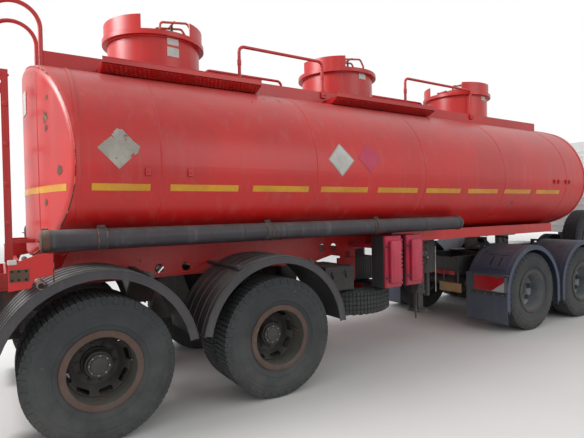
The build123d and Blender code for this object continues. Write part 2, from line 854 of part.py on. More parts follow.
with BuildPart() as cab_form:
    plate(cab_side, (-cab_half_width, cab_half_width))
    side_edges = cab_form.edges().filter_by(lambda e: abs(abs(e.center().Y) - cab_half_width) < 1)
    soft_edges = side_edges.filter_by(lambda e: e.center().Z > cab_sill_z + 1)
    fillet(soft_edges, radius=cab_edge)
    plate(cabin_inside, (-cabin_half_width, cabin_half_width), mode=Mode.SUBTRACT)
    block(
        (cab_rear_x + cab_wall, cab_front_x - cab_wall),
        (-cabin_half_width, cabin_half_width),
        (cab_sill_z - 1, cab_floor_z - cab_floor_thickness),
        mode=Mode.SUBTRACT,
    )
    block(
        (cab_front_x - cab_wall, cab_front_x),
        (-cab_apron_half, cab_apron_half),
        (cab_front_bottom_z, cab_sill_z),
    )
    for side_name, side in sides:
        through_wall = (side * (cabin_half_width - 1), side * (cab_half_width + 1))
        plate(
            [
                (door_rear_x - door_gap, door_bottom_z - door_gap),
                (door_rear_x - door_gap, door_top_z + door_gap),
                (door_front_x - door_rake + door_gap, door_top_z + door_gap),
                (door_front_x + door_gap, waist_z),
                (door_front_x + door_gap, door_bottom_z - door_gap),
            ],
            through_wall,
            mode=Mode.SUBTRACT,
        )
        drum(steer_axle_x, through_wall, tractor_tyre_radius, wheel_arch_radius, mode=Mode.SUBTRACT)
        for z in hinge_heights:
            post(hinge_x, side * hinge_y, (z - hinge_half - 12, z + hinge_half + 12), hinge_pin_radius)
            for level in (-1, 1):
                end = z + level * (hinge_half + 2)
                block(
                    (hinge_x - 8, door_front_x + door_gap + 40),
                    (side * (cab_half_width - 10), side * (hinge_y + 9)),
                    (end, end + level * 10),
                )
                block(
                    (hinge_x - 9, door_front_x + door_gap),
                    (side * (cab_half_width - 61), side * (cab_half_width)),
                    (end, end + level * 10),
                    mode=Mode.SUBTRACT,
                )
        lug = side * (frame_rail_y + 30)
        plate(
            [
                (tilt_x - 60, cab_floor_z - cab_floor_thickness),
                (tilt_x - 45, tilt_z - 40),
                (tilt_x + 45, tilt_z - 40),
                (tilt_x + 60, cab_floor_z - cab_floor_thickness),
            ],
            (lug - tilt_lug_half, lug + tilt_lug_half),
        )
        drum(tilt_x, (lug - 20, lug + 20), tilt_z, tilt_pin_radius + hinge_fit, mode=Mode.SUBTRACT)
    with BuildSketch(Plane.YZ.offset(cab_front_x + 10)):
        with Locations((0, (waist_z + screen_top_z) / 2 + 10)):
            RectangleRounded(screen_width, screen_height, screen_corner)
    extrude(amount=-screen_cut, mode=Mode.SUBTRACT)
    with BuildSketch(Plane.YZ.offset(cab_rear_x - 10)):
        with Locations((-620, 2350), (620, 2350)):
            RectangleRounded(560, 420, 60)
    extrude(amount=cab_wall + 20, mode=Mode.SUBTRACT)
    with BuildSketch(Plane.YZ.offset(cab_front_x + 10)):
        with Locations((0, 1450)):
            RectangleRounded(1700, 460, 50)
    extrude(amount=-cab_wall - 20, mode=Mode.SUBTRACT)
roof_seam = Plane.XY.offset(door_top_z + roof_seam_rise)
with BuildPart() as cab_shell:
    add(cab_form.part)
    split(bisect_by=roof_seam, keep=Keep.BOTTOM)
save(cab_shell.part, "cab_shell")
with BuildPart() as cab_roof:
    add(cab_form.part)
    split(bisect_by=roof_seam, keep=Keep.TOP)
save(cab_roof.part, "cab_roof")

# Grille: frame with slats, set in the cab's front panel
with BuildPart() as grille:
    with BuildSketch(Plane.YZ.offset(cab_front_x - 40)):
        with Locations((0, 1450)):
            RectangleRounded(1700 - 2 * seat_fit, 460 - 2 * seat_fit, 50 - seat_fit)
            RectangleRounded(1620, 380, 30, mode=Mode.SUBTRACT)
    extrude(amount=46)
    for row in range(5):
        block((cab_front_x - 35, cab_front_x + 2), (-815, 815), (1290 + 75 * row, 1290 + 75 * row + 22))
    for y in (-400, 0, 400):
        block((cab_front_x - 38, cab_front_x - 20), (y - 12, y + 12), (1255, 1645))
save(grille.part, "grille")

# Glass: windscreen and the two rear windows
with BuildPart() as cab_glass:
    plate(
        [
            (screen_bottom_x - 30, waist_z),
            (screen_bottom_x - 30 - glass_thickness, waist_z),
            (screen_top_x - 10 - glass_thickness, screen_top_z),
            (screen_top_x - 10, screen_top_z),
        ],
        (-cabin_half_width, cabin_half_width),
    )
    with BuildSketch(Plane.YZ.offset(cab_front_x + 10)):
        with Locations((0, (waist_z + screen_top_z) / 2 + 10)):
            RectangleRounded(
                screen_width - 2 * glass_fit,
                screen_height - 2 * glass_fit,
                screen_corner - glass_fit,
            )
    extrude(amount=-screen_cut, mode=Mode.INTERSECT)
    with BuildSketch(Plane.YZ.offset(cab_rear_x + 25)):
        with Locations((-620, 2350), (620, 2350)):
            RectangleRounded(560 - 2 * seat_fit, 420 - 2 * seat_fit, 60 - seat_fit)
    extrude(amount=glass_thickness)
save(cab_glass.part, "cab_glass")

# Dashboard with the steering column
wheel_x = steer_axle_x + 880
wheel_y = 560
wheel_z = 2110
wheel_tilt = 35
column_axis = (-sin(radians(wheel_tilt)), 0, cos(radians(wheel_tilt)))
wheel_plane = Plane(origin=(wheel_x, wheel_y, wheel_z), z_dir=column_axis)
with BuildPart() as dashboard:
    plate(
        [
            (cab_front_x - cab_wall - seat_fit, 1560),
            (cab_front_x - cab_wall - seat_fit, waist_z - 230),
            (cab_front_x - 140, waist_z - 20),
            (cab_front_x - 420, waist_z - 40),
            (cab_front_x - 470, waist_z - 160),
            (cab_front_x - 360, 1560),
        ],
        (-cabin_half_width + seat_fit, cabin_half_width - seat_fit),
    )
    with BuildSketch(wheel_plane):
        Circle(32)
    extrude(amount=-380)
save(dashboard.part, "dashboard")

# Steering wheel on the column's end
with BuildPart() as steering_wheel:
    with BuildSketch(wheel_plane.offset(axle_fit)):
        Circle(60)
    extrude(amount=35)
    with BuildSketch(wheel_plane.offset(axle_fit + 8)):
        Rectangle(440, 30)
        Rectangle(30, 440)
    extrude(amount=12)
    rim_centre = wheel_plane.origin + wheel_plane.z_dir * 15
    with BuildSketch(Plane(origin=rim_centre, x_dir=wheel_plane.x_dir, z_dir=wheel_plane.y_dir)):
        with Locations((225, 0)):
            Circle(15)
    revolve(axis=Axis(wheel_plane.origin, wheel_plane.z_dir))
save(steering_wheel.part, "steering_wheel")

# Seats: driver and passenger, each a base, cushion and back in one
with BuildPart() as seats:
    for y in (-wheel_y, wheel_y):
        plate(
            [
                (steer_axle_x + 60, cab_floor_z),
                (steer_axle_x + 60, 1760),
                (steer_axle_x - 60, 2480),
                (steer_axle_x + 20, 2500),
                (steer_axle_x + 170, 1930),
                (steer_axle_x + 560, 1960),
                (steer_axle_x + 570, 1800),
                (steer_axle_x + 470, 1760),
                (steer_axle_x + 470, cab_floor_z),
            ],
            (y - 250, y + 250),
        )
save(seats.part, "seats")

# Doors: hollow window frame over a full panel, hung on two sleeves, each with its pane
for side_name, side in sides:
    with BuildPart() as door:
        plate(door_outline, (side * cabin_half_width, side * cab_half_width))
        through_door = (side * (cabin_half_width - 1), side * (cab_half_width + 1))
        plate(window_outline, through_door, mode=Mode.SUBTRACT)
        for z in hinge_heights:
            block(
                (hinge_x - 40, door_front_x - 4),
                (side * (cab_half_width - 20), side * (hinge_y + 5)),
                (z - hinge_half, z + hinge_half),
            )
            sleeve = (z - hinge_half, z + hinge_half)
            post(hinge_x, side * hinge_y, sleeve, hinge_pin_radius + 5)
            post(hinge_x, side * hinge_y, sleeve, hinge_pin_radius + hinge_fit, mode=Mode.SUBTRACT)
            for level in (-1, 1):
                block(
                    (hinge_x - hinge_notch, door_front_x + 1),
                    (side * (cab_half_width - 20), side * (cab_half_width + 1)),
                    (z + level * (hinge_half + 1), z + level * (hinge_half + 14)),
                    mode=Mode.SUBTRACT,
                )
        block(
            (door_rear_x + 60, door_rear_x + 200),
            (side * cab_half_width, side * (cab_half_width + 18)),
            (1780, 1815),
        )
    save(door.part, f"door_{side_name}")
    with BuildPart() as door_glass:
        pane_rear_x = door_rear_x + window_margin + glass_fit
        pane_top_z = door_top_z - window_margin - glass_fit
        plate(
            [
                (pane_rear_x, waist_z + glass_fit),
                (pane_rear_x, pane_top_z),
                (door_front_x - door_rake - window_margin - glass_fit, pane_top_z),
                (door_front_x - window_margin - 20 - 2 * glass_fit, waist_z + glass_fit),
            ],
            (side * (cabin_half_width + 27), side * (cabin_half_width + 27 + glass_thickness)),
        )
    save(door_glass.part, f"door_glass_{side_name}")

# Mirrors on arms from the corners of the cab
mirror_x = cab_front_x - 150
with BuildPart() as mirrors:
    for side_name, side in sides:
        with BuildSketch(Plane.XY.offset(1980)):
            with Locations((mirror_x, side * 1400)):
                RectangleRounded(110, 200, 35)
        extrude(amount=620)
        for z in (2000, 2540):
            arm = (side * (cab_half_width + seat_fit), side * 1310)
            block((mirror_x - 20, mirror_x + 20), arm, (z, z + 30))
save(mirrors.part, "mirrors")

# Tank: oval barrel with dished ends, rim beads, and three necks with flanges, guards and hatch collars
guard_arcs = [
    # arcs round each neck from the rear, as start and end angle from forward, counter-clockwise
    [(170, 240), (298, 350)],
    [(175, 245)],
    [(128, 167), (228, 292)],
]
neck_xs = [neck_first_x + number * neck_pitch for number in range(neck_count)]
with BuildPart() as tank:
    add(tank_form(0))
    ends = tank.faces().sort_by(Axis.X)
    fillet(ends[0].edges() + ends[-1].edges(), radius=dish_knuckle)
    for rim_x in (tank_rear_rim_x, tank_front_rim_x - rim_bead_width):
        with BuildSketch(Plane.YZ.offset(rim_x)):
            oval(rim_bead)
        extrude(amount=rim_bead_width)
    for x in neck_xs:
        post(x, 0, (tank_middle_z + tank_rise - 150, neck_top_z), neck_radius)
        post(x, 0, (neck_top_z - neck_flange_thickness, neck_top_z), neck_flange_radius)
        post(x, 0, (neck_top_z, neck_top_z + collar_height), collar_radius)
        for side in (-1, 1):
            block(
                (x + lid_hinge_x - 14, x + lid_hinge_x + 14),
                (side * 75 - 8, side * 75 + 8),
                (neck_top_z, neck_top_z + collar_height + 32),
            )
        drum(x + lid_hinge_x, (-83, 83), neck_top_z + collar_height + lid_pin_rise, hinge_pin_radius)
    for x, arcs in zip(neck_xs, guard_arcs):
        for start, end in arcs:
            with BuildSketch(Plane.XY.offset(neck_top_z)):
                with BuildLine():
                    inside = CenterArc((x, 0), guard_radius, start, end - start)
                    outside = CenterArc((x, 0), guard_radius + guard_thickness, start, end - start)
                    Line(inside @ 0, outside @ 0)
                    Line(inside @ 1, outside @ 1)
                make_face()
            extrude(amount=guard_height)
save(tank.part, "tank")

# Hatch lids: disc with a low crown, hinge sleeve and a looped clamp handle
for number, x in enumerate(neck_xs):
    lid_z = neck_top_z + collar_height + axle_fit
    with BuildPart() as lid:
        post(x, 0, (lid_z, lid_z + lid_thickness), lid_radius)
        post(x, 0, (lid_z + lid_thickness, lid_z + lid_thickness + 35), lid_radius - 110)
        pin_z = neck_top_z + collar_height + lid_pin_rise
        block((x + lid_hinge_x, x - 200), (-60, 60), (neck_top_z + collar_height + 2, lid_z + lid_thickness))
        drum(x + lid_hinge_x, (-60, 60), pin_z, hinge_pin_radius + 8)
        drum(x + lid_hinge_x, (-61, 61), pin_z, hinge_pin_radius + hinge_fit, mode=Mode.SUBTRACT)
        for side in (-1, 1):
            pipe(
                [
                    (x + 40, side * 90, lid_z + lid_thickness),
                    (x + 40, side * 90, lid_z + 190),
                    (x + 330, side * 90, lid_z + 230),
                    (x + 400, side * 90, lid_z + 120),
                    (x + 400, 0, lid_z + 120),
                ],
                12,
                40,
            )
    save(lid.part, f"hatch_lid_{number + 1}")

# Walkway: curbs, side plates with lips and gussets, handrails, and the ladder with its hoops
plate_runs = [
    # rear X from the rear axle, front X from the rear axle
    (145, 1659),
    (2629, 4240),
]
rail_runs = [
    # rear X from the rear axle, front X from the rear axle
    (1540, 2607),
    (3964, 5312),
]
curb_foot_z = tank_middle_z + tank_rise - 90
with BuildPart() as walkway:
    for side_name, side in sides:
        block(
            (curb_rear_x, curb_front_x),
            (side * curb_y, side * (curb_y + curb_thickness)),
            (curb_foot_z, curb_top_z),
        )
        outer = side * (curb_y + side_plate_width)
        for start, end in plate_runs:
            x0 = trailer_rear_axle_x + start
            x1 = trailer_rear_axle_x + end
            block((x0, x1), (side * curb_y, outer), (side_plate_z, side_plate_z + side_plate_thickness))
            lip = (outer, outer - side * side_plate_thickness)
            block((x0, x1), lip, (side_plate_z, side_plate_z + side_plate_lip))
            for x in (x0, (x0 + x1) / 2, x1 - side_plate_thickness):
                with BuildSketch(Plane.YZ.offset(x)):
                    with BuildLine():
                        Polyline(
                            (side * curb_y, side_plate_z + side_plate_thickness / 2),
                            (outer, side_plate_z + side_plate_thickness / 2),
                            (side * (curb_y + 60), curb_foot_z),
                            (side * curb_y, curb_foot_z),
                            close=True,
                        )
                    make_face()
                extrude(amount=side_plate_thickness)
        for start, end in rail_runs:
            x0 = trailer_rear_axle_x + start
            x1 = trailer_rear_axle_x + end
            y = side * (curb_y + curb_thickness / 2)
            top = curb_top_z + rail_height
            foot = curb_top_z - 60
            pipe([(x0, y, foot), (x0, y, top), (x1, y, top), (x1, y, foot)], rail_tube, 60)
    for y in (ladder_near_y, ladder_near_y + ladder_width):
        bar = (y - ladder_bar_thickness / 2, y + ladder_bar_thickness / 2)
        hoop_rear_x = hoop_foot_x - 2 * hoop_radius
        top = hoop_rise + hoop_radius
        block((ladder_x - ladder_bar / 2, ladder_x + ladder_bar / 2), bar, (ladder_bottom_z, ladder_top_z))
        block((hoop_rear_x - hoop_tube, ladder_x + ladder_bar / 2), bar, (ladder_top_z - 90, ladder_top_z))
        block((ladder_x, tank_rear_rim_x), bar, (1475, 1505))
        pipe(
            [
                (hoop_rear_x, y, ladder_top_z - 90),
                (hoop_rear_x, y, top),
                (hoop_foot_x, y, top),
                (hoop_foot_x, y, curb_foot_z),
            ],
            hoop_tube,
            hoop_radius - 0.1,
        )
    z = ladder_bottom_z + 80
    while z < ladder_top_z - 30:
        drum(ladder_x, (ladder_near_y, ladder_near_y + ladder_width), z, rung_radius)
        z += rung_pitch
    add(tank_form(tank_fit), mode=Mode.SUBTRACT)
    bead_space(tank_rear_rim_x)
save(walkway.part, "walkway")

# Hose cases: capped tubes along both sides on bracket straps
strap_xs = [370, 1800, 3130]
with BuildPart() as hose_cases:
    for side_name, side in sides:
        with BuildSketch(Plane.YZ.offset(case_rear_x)):
            with Locations((side * case_y, case_z)):
                Circle(case_radius)
        extrude(amount=case_length)
        for x in strap_xs:
            with BuildSketch(Plane.YZ.offset(case_rear_x + x)):
                with Locations((side * case_y, case_z)):
                    Circle(case_radius + 5)
            extrude(amount=60)
            block(
                (case_rear_x + x, case_rear_x + x + 60),
                (side * (case_y - case_radius), side * 860),
                (case_z - 15, case_z + 15),
            )
    add(tank_form(tank_fit), mode=Mode.SUBTRACT)
save(hose_cases.part, "hose_cases")

# Trailer frame: rails shaped to the tank, cross members, coupling box with its pin, and bumper
rail_steps = [
    # X from the rear axle, height of the rail's lower edge
    (-790, trailer_rail_bottom),
    (2450, trailer_rail_bottom),
    (2700, trailer_rail_bottom + 60),
    (3900, coupler_bottom + 20),
]
web_holes = [
    # X from the rear axle, height, radius
    (650, 1180, 43),
    (910, 1180, 43),
    (2540, 1260, 47),
    (2710, 1260, 47),
]
frame_cross_xs = [-555, 350, 1173, 2000, 3000]
cradle_bottom_z = 870
with BuildPart() as trailer_frame:
    for side_name, side in sides:
        outline = [(trailer_rear_axle_x + x, z) for x, z in rail_steps]
        top = tank_middle_z - tank_drop + 100
        outline += [(trailer_frame_front_x, top), (tank_rear_rim_x + 40, top)]
        outline += [(tank_rear_rim_x - 40, ladder_bottom_z), (trailer_frame_rear_x, ladder_bottom_z)]
        web = (side * (trailer_rail_y - trailer_web / 2), side * (trailer_rail_y + trailer_web / 2))
        flange_half = trailer_rail_width / 2
        flange = (side * (trailer_rail_y - flange_half), side * (trailer_rail_y + flange_half))
        plate(outline, web)
        block(
            (trailer_frame_rear_x, trailer_rear_axle_x + rail_steps[1][0]),
            flange,
            (trailer_rail_bottom - 12, trailer_rail_bottom),
        )
        block(
            (coupler_rear_x, coupler_front_x),
            (side * (coupler_half_width - 60), side * coupler_half_width),
            (coupler_bottom, coupler_bottom + coupler_height),
        )
        block((spare_x - 40, spare_x + 40), web, (cradle_bottom_z, trailer_rail_bottom + 150))
        through_web = (side * (trailer_rail_y - trailer_web), side * (trailer_rail_y + trailer_web))
        for x, z, radius in web_holes:
            drum(trailer_rear_axle_x + x, through_web, z, radius, mode=Mode.SUBTRACT)
    cradle_z = (cradle_bottom_z, cradle_bottom_z + 50)
    block((spare_x - 40, spare_x + 40), (-trailer_rail_y, trailer_rail_y), cradle_z)
    post(spare_x, spare_y, (spare_z + spare_disc, cradle_bottom_z + 50), 30)
    lying(spare_rim, spare_x, spare_y, spare_z)
    for x in frame_cross_xs:
        block(
            (trailer_rear_axle_x + x - 40, trailer_rear_axle_x + x + 40),
            (-trailer_rail_y, trailer_rail_y),
            (trailer_rail_bottom + 10, ladder_bottom_z),
        )
    block(
        (coupler_rear_x, coupler_front_x),
        (-coupler_half_width, coupler_half_width),
        (coupler_bottom, coupler_bottom + 20),
    )
    for x in (coupler_rear_x, kingpin_x - 700, kingpin_x, coupler_front_x - 60):
        block(
            (x, x + 60),
            (-coupler_half_width, coupler_half_width),
            (coupler_bottom, coupler_bottom + coupler_height),
        )
    post(kingpin_x, 0, (coupler_bottom - pin_length, coupler_bottom), pin_radius)
    block(
        (trailer_frame_rear_x - bumper_depth, trailer_frame_rear_x),
        (-tank_half_width, tank_half_width),
        (bumper_z, bumper_z + bumper_height),
    )
    block(
        (trailer_frame_rear_x - 40, trailer_frame_rear_x),
        (-tank_half_width, tank_half_width),
        (trailer_rail_bottom - 60, trailer_rail_bottom + 90),
    )
    for side_name, side in sides:
        block(
            (trailer_frame_rear_x - 60, trailer_frame_rear_x),
            (side * (trailer_rail_y - 35), side * (trailer_rail_y + 35)),
            (bumper_z, trailer_rail_bottom + 90),
        )
    add(tank_form(tank_fit), mode=Mode.SUBTRACT)
    bead_space(tank_rear_rim_x)
save(trailer_frame.part, "trailer_frame")

# Trailer axles: round beams, leaf springs under the rails and their hangers
trailer_axle_end = twin_outer_y - twin_end + 15 - axle_fit
leaf_reach = 560
hanger_reach = 60
hanger_lap = 13.5
hangers = [
    # middle X, half length where the springs rest
    (trailer_rear_axle_x - leaf_reach, hanger_reach),
    (trailer_rear_axle_x + trailer_axle_spacing / 2, trailer_axle_spacing / 2 - leaf_reach + hanger_lap),
    (trailer_front_axle_x + leaf_reach, hanger_reach),
]
with BuildPart() as trailer_axles:
    for axle_x in (trailer_rear_axle_x, trailer_front_axle_x):
        drum(axle_x, (-trailer_axle_end, trailer_axle_end), trailer_tyre_radius, axle_tube_radius)
        for side_name, side in sides:
            middle = side * trailer_rail_y
            leaf = (middle - trailer_spring_width / 2, middle + trailer_spring_width / 2)
            z = trailer_tyre_radius + axle_tube_radius
            plate(
                [
                    (axle_x - leaf_reach, z + 120),
                    (axle_x - 90, z - 20),
                    (axle_x + 90, z - 20),
                    (axle_x + leaf_reach, z + 120),
                    (axle_x + leaf_reach, z + 145),
                    (axle_x + 90, z + 90),
                    (axle_x - 90, z + 90),
                    (axle_x - leaf_reach, z + 145),
                ],
                leaf,
            )
    for side_name, side in sides:
        leaf = (side * trailer_rail_y - 30, side * trailer_rail_y + 30)
        for x, reach in hangers:
            plate(
                [
                    (x - reach, trailer_tyre_radius + axle_tube_radius + 100),
                    (x + reach, trailer_tyre_radius + axle_tube_radius + 100),
                    (x + reach, trailer_tyre_radius + axle_tube_radius + 180),
                    (x + 110, trailer_rail_bottom - 12),
                    (x - 110, trailer_rail_bottom - 12),
                    (x - reach, trailer_tyre_radius + axle_tube_radius + 180),
                ],
                leaf,
            )
save(trailer_axles.part, "trailer_axles")

# Trailer fenders: one arc over each wheel with a lip and a stay tube, and flaps behind the rear wheels
fender_arcs = [
    # axle X, start and end angle from forward
    (trailer_rear_axle_x, 10, 185),
    (trailer_front_axle_x, 5, 170),
]
with BuildPart() as trailer_fenders:
    for side_name, side in sides:
        inner_y = side * (twin_outer_y - fender_width)
        outer_y = side * twin_outer_y
        for axle_x, start, end in fender_arcs:
            for radius_in, y_from, y_to in (
                (fender_radius - fender_thickness, inner_y, outer_y),
                (fender_radius - fender_lip, outer_y - side * fender_thickness, outer_y),
            ):
                with BuildSketch(Plane.XZ.offset(-y_from)):
                    with BuildLine():
                        inside = CenterArc((axle_x, trailer_tyre_radius), radius_in, start, end - start)
                        outside = CenterArc((axle_x, trailer_tyre_radius), fender_radius, start, end - start)
                        Line(inside @ 0, outside @ 0)
                        Line(inside @ 1, outside @ 1)
                    make_face()
                extrude(amount=-(y_to - y_from))
            for turn in (60, 120):
                x = axle_x + (fender_radius + 16) * cos(radians(turn))
                z = trailer_tyre_radius + (fender_radius + 16) * sin(radians(turn))
                drum(x, (side * (trailer_rail_y + trailer_web / 2), outer_y - side * 40), z, 20)
        flap_x = trailer_rear_axle_x - fender_radius
        block((flap_x - 8, flap_x + 4), (inner_y, outer_y), (flap_bottom_z, trailer_tyre_radius + 40))
save(trailer_fenders.part, "trailer_fenders")

# Spare tyre lying under the frame, round the rim that hangs from the cross bar
with BuildPart() as spare_tyre:
    lying(tyre_bands(trailer_tyre_radius), spare_x, spare_y, spare_z)
save(spare_tyre.part, "trailer_spare_tyre")

# Extinguisher boxes on the right side, each with a hinged lid, and the tool box behind them
box_face_y = box_inner_y + box_depth - box_lid_depth
lid_hinge_gap = 15
with BuildPart() as side_boxes:
    for start, end in box_rows:
        x0 = trailer_rear_axle_x + start
        x1 = trailer_rear_axle_x + end
        block((x0, x1), (-box_inner_y, -box_face_y), (box_bottom_z, box_top_z))
        block(
            (x0 + box_wall, x1 - box_wall),
            (-box_inner_y - box_wall, -box_face_y - 1),
            (box_bottom_z + box_wall, box_top_z - box_wall),
            mode=Mode.SUBTRACT,
        )
        block(
            (x0 + 60, x1 - 60),
            (-box_inner_y, -trailer_rail_y - trailer_web / 2),
            (coupler_bottom - box_bracket_height, coupler_bottom),
        )
        for z in (box_bottom_z + 120, box_top_z - 120):
            post(x1 + lid_hinge_gap, -box_face_y, (z - 45, z + 45), hinge_pin_radius - 3)
            for level in (-1, 1):
                block(
                    (x1 - 6, x1 + lid_hinge_gap + 8),
                    (-box_face_y - 7, -box_face_y + 12),
                    (z + level * 33, z + level * 45),
                )
save(side_boxes.part, "extinguisher_boxes")
for number, (start, end) in enumerate(box_rows):
    x0 = trailer_rear_axle_x + start
    x1 = trailer_rear_axle_x + end
    with BuildPart() as box_lid:
        block((x0, x1 - 8), (-box_face_y - axle_fit, -box_inner_y - box_depth), (box_bottom_z, box_top_z))
        fillet(box_lid.edges().group_by(Axis.Y)[0], radius=18)
        for z in (box_bottom_z + 120, box_top_z - 120):
            block((x1 - 20, x1 + lid_hinge_gap), (-box_face_y - 12, -box_face_y - 4), (z - 32, z + 32))
            post(x1 + lid_hinge_gap, -box_face_y, (z - 32, z + 32), hinge_pin_radius + 3)
            bore = hinge_pin_radius - 3 + hinge_fit
            post(x1 + lid_hinge_gap, -box_face_y, (z - 33, z + 33), bore, mode=Mode.SUBTRACT)
    save(box_lid.part, f"extinguisher_lid_{number + 1}")
with BuildPart() as tool_box:
    x0 = trailer_rear_axle_x + tool_box_x
    block((x0, x0 + tool_box_length), (-950, -560), (840, 1090))
    block((x0 + 60, x0 + tool_box_length - 60), (-600, -trailer_rail_y), (1090, trailer_rail_bottom - 12))
save(tool_box.part, "tool_box")

# Landing legs: square tubes with inner legs and round feet, braced to the frame
with BuildPart() as landing_legs:
    for side_name, side in sides:
        half = leg_width / 2
        inner = half - leg_wall
        y = side * leg_y
        block((leg_x - half, leg_x + half), (y - half, y + half), (620, coupler_bottom))
        block((leg_x - inner, leg_x + inner), (y - inner, y + inner), (leg_bottom_z + 20, 700))
        post(leg_x, y, (leg_bottom_z, leg_bottom_z + 20), 120)
    drum(leg_x, (-leg_y, leg_y), 900, 22)
save(landing_legs.part, "landing_legs")
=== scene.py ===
from collections import namedtuple
import json
from math import atan2, cos, hypot, pi, radians, sin, sqrt

import bpy
from mathutils import Matrix, Vector

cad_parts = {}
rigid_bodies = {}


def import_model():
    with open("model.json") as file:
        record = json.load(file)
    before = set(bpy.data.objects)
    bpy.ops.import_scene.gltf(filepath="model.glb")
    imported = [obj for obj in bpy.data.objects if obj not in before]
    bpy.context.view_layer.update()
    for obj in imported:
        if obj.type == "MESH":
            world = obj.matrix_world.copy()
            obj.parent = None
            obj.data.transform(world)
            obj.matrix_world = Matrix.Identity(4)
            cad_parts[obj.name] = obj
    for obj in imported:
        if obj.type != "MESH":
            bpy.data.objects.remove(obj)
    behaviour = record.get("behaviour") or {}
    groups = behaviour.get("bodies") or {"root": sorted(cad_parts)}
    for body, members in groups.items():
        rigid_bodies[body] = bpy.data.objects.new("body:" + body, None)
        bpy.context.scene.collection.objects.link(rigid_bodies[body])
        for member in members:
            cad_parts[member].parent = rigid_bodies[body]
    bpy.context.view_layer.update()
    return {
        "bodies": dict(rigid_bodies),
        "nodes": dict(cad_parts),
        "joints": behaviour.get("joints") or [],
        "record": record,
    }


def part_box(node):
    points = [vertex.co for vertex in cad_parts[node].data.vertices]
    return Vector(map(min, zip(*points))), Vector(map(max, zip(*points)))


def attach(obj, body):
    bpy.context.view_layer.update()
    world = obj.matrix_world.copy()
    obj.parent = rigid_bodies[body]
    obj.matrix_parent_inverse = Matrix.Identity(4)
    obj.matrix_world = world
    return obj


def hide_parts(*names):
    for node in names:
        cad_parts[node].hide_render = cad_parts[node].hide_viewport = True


bl_info = {
    "name": "Tank Lorry Finishing",
    "version": (1, 0, 0),
    "blender": (4, 5, 0),
    "location": "3D View > Sidebar > Tank Lorry",
    "description": "Details, paint and wear for the articulated tank lorry, and the studio it stands in",
    "category": "Add Mesh",
}

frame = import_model()

# Directions, and the centre, axis and start of what is spun round an axle at the origin
AHEAD, BACK, LEFT, RIGHT, UP = (1, 0, 0), (-1, 0, 0), (0, 1, 0), (0, -1, 0), (0, 0, 1)
AXLE = (0, 0, 0), LEFT, UP
# Places taken from the solids, in metres: X forward, Y left, Z up
TRAILER_REAR_X, TRAILER_FRONT_X = -5.4, -3.877
DRIVE_REAR_X, DRIVE_FRONT_X, STEER_X = 0.165, 1.515, 4.815
TRAILER_RADIUS, TRACTOR_RADIUS = 0.545, 0.530
OUTER_Y, STEER_OUTER_Y, TYRE_WIDTH, TWIN_SPACING = 1.25, 1.19, 0.29, 0.335
TANK_HALF, TANK_MIDDLE, TANK_RISE, TANK_DROP = 1.237, 2.075, 0.931, 0.743
UPPER_SIDE, LOWER_SIDE = 0.864, 0.607
BOW_RADIUS, REAR_BOW_X = 3.1078, -2.7022
NECK_XS, NECK_RADIUS, NECK_TOP = (-4.61, -2.215, 0.18), 0.455, 3.43
CURB_Y, CURB_TOP = 0.468, 3.075
CAB_REAR_X, CAB_HALF = 4.0, 1.22
PLATE_RUNS, PLATE_TOP = ((-5.255, -3.741), (-2.771, -1.16)), 2.981
RAIL_RUNS, RAIL_Y = ((-3.86, -2.793), (-1.436, -0.088)), 0.464
LADDER_X, LADDER_YS = -5.955, (-0.464, 0.0)
CASE_Y, CASE_Z, CASE_RADIUS, CASE_REAR, CASE_FRONT = 1.13, 1.515, 0.078, -5.77, -1.25
STRAP_XS, CASE_SEAMS = (-5.37, -3.94, -2.61), (-4.2, -2.68, -1.9)
FLAP_X, LEG_X, LEG_Y = -6.145, -1.5, 0.69
TRAILER_ARCH, TRACTOR_ARCH, TRACTOR_FENDER_Y = 0.742, 0.635, 1.262
BOX_RUNS, BOX_LOW, BOX_HIGH = ((-2.53, -2.28), (-2.21, -1.96)), 0.845, 1.405
GUSSET = ((-5.975, 1.389), (-5.923, 1.386), (-5.81, 1.425), (-5.76, 1.435), (-5.704, 1.43), (-5.708, 1.278),
          (-5.82, 1.262), (-5.845, 1.2), (-5.98, 1.188))
SIDES = (("right", -1), ("left", 1))
TWIN_WHEELS = (
    ("trailer_rear", TRAILER_REAR_X, TRAILER_RADIUS), ("trailer_front", TRAILER_FRONT_X, TRAILER_RADIUS),
    ("drive_rear", DRIVE_REAR_X, TRACTOR_RADIUS), ("drive_front", DRIVE_FRONT_X, TRACTOR_RADIUS),
)


# Shaping
def free():
    """Leave edit mode with nothing selected."""
    if bpy.context.mode != "OBJECT":
        bpy.ops.object.mode_set(mode="OBJECT")
    bpy.ops.object.select_all(action="DESELECT")


def pick(obj):
    """Select one object alone and make it active."""
    free()
    obj.select_set(True)
    bpy.context.view_layer.objects.active = obj
    return obj


def settle(obj):
    """Put the object's place, turn and size into its mesh."""
    pick(obj)
    bpy.ops.object.transform_apply(location=True, rotation=True, scale=True)
    return obj


def edit(obj, choose=None, kind="FACE"):
    """Enter edit mode with all of the mesh selected, or only the elements that choose() accepts."""
    pick(obj)
    bpy.ops.object.mode_set(mode="EDIT")
    bpy.ops.mesh.select_mode(type=kind)
    if choose is None:
        bpy.ops.mesh.select_all(action="SELECT")
        return
    bpy.ops.mesh.select_all(action="DESELECT")
    bpy.ops.object.mode_set(mode="OBJECT")
    elements = {"FACE": obj.data.polygons, "EDGE": obj.data.edges, "VERT": obj.data.vertices}[kind]
    for element in elements:
        element.select = bool(choose(element))
    bpy.ops.object.mode_set(mode="EDIT")


def tidy_normals(obj):
    """Merge doubles and turn every face outwards."""
    edit(obj)
    bpy.ops.mesh.remove_doubles(threshold=0.00005)
    bpy.ops.mesh.normals_make_consistent(inside=False)
    free()
    return obj


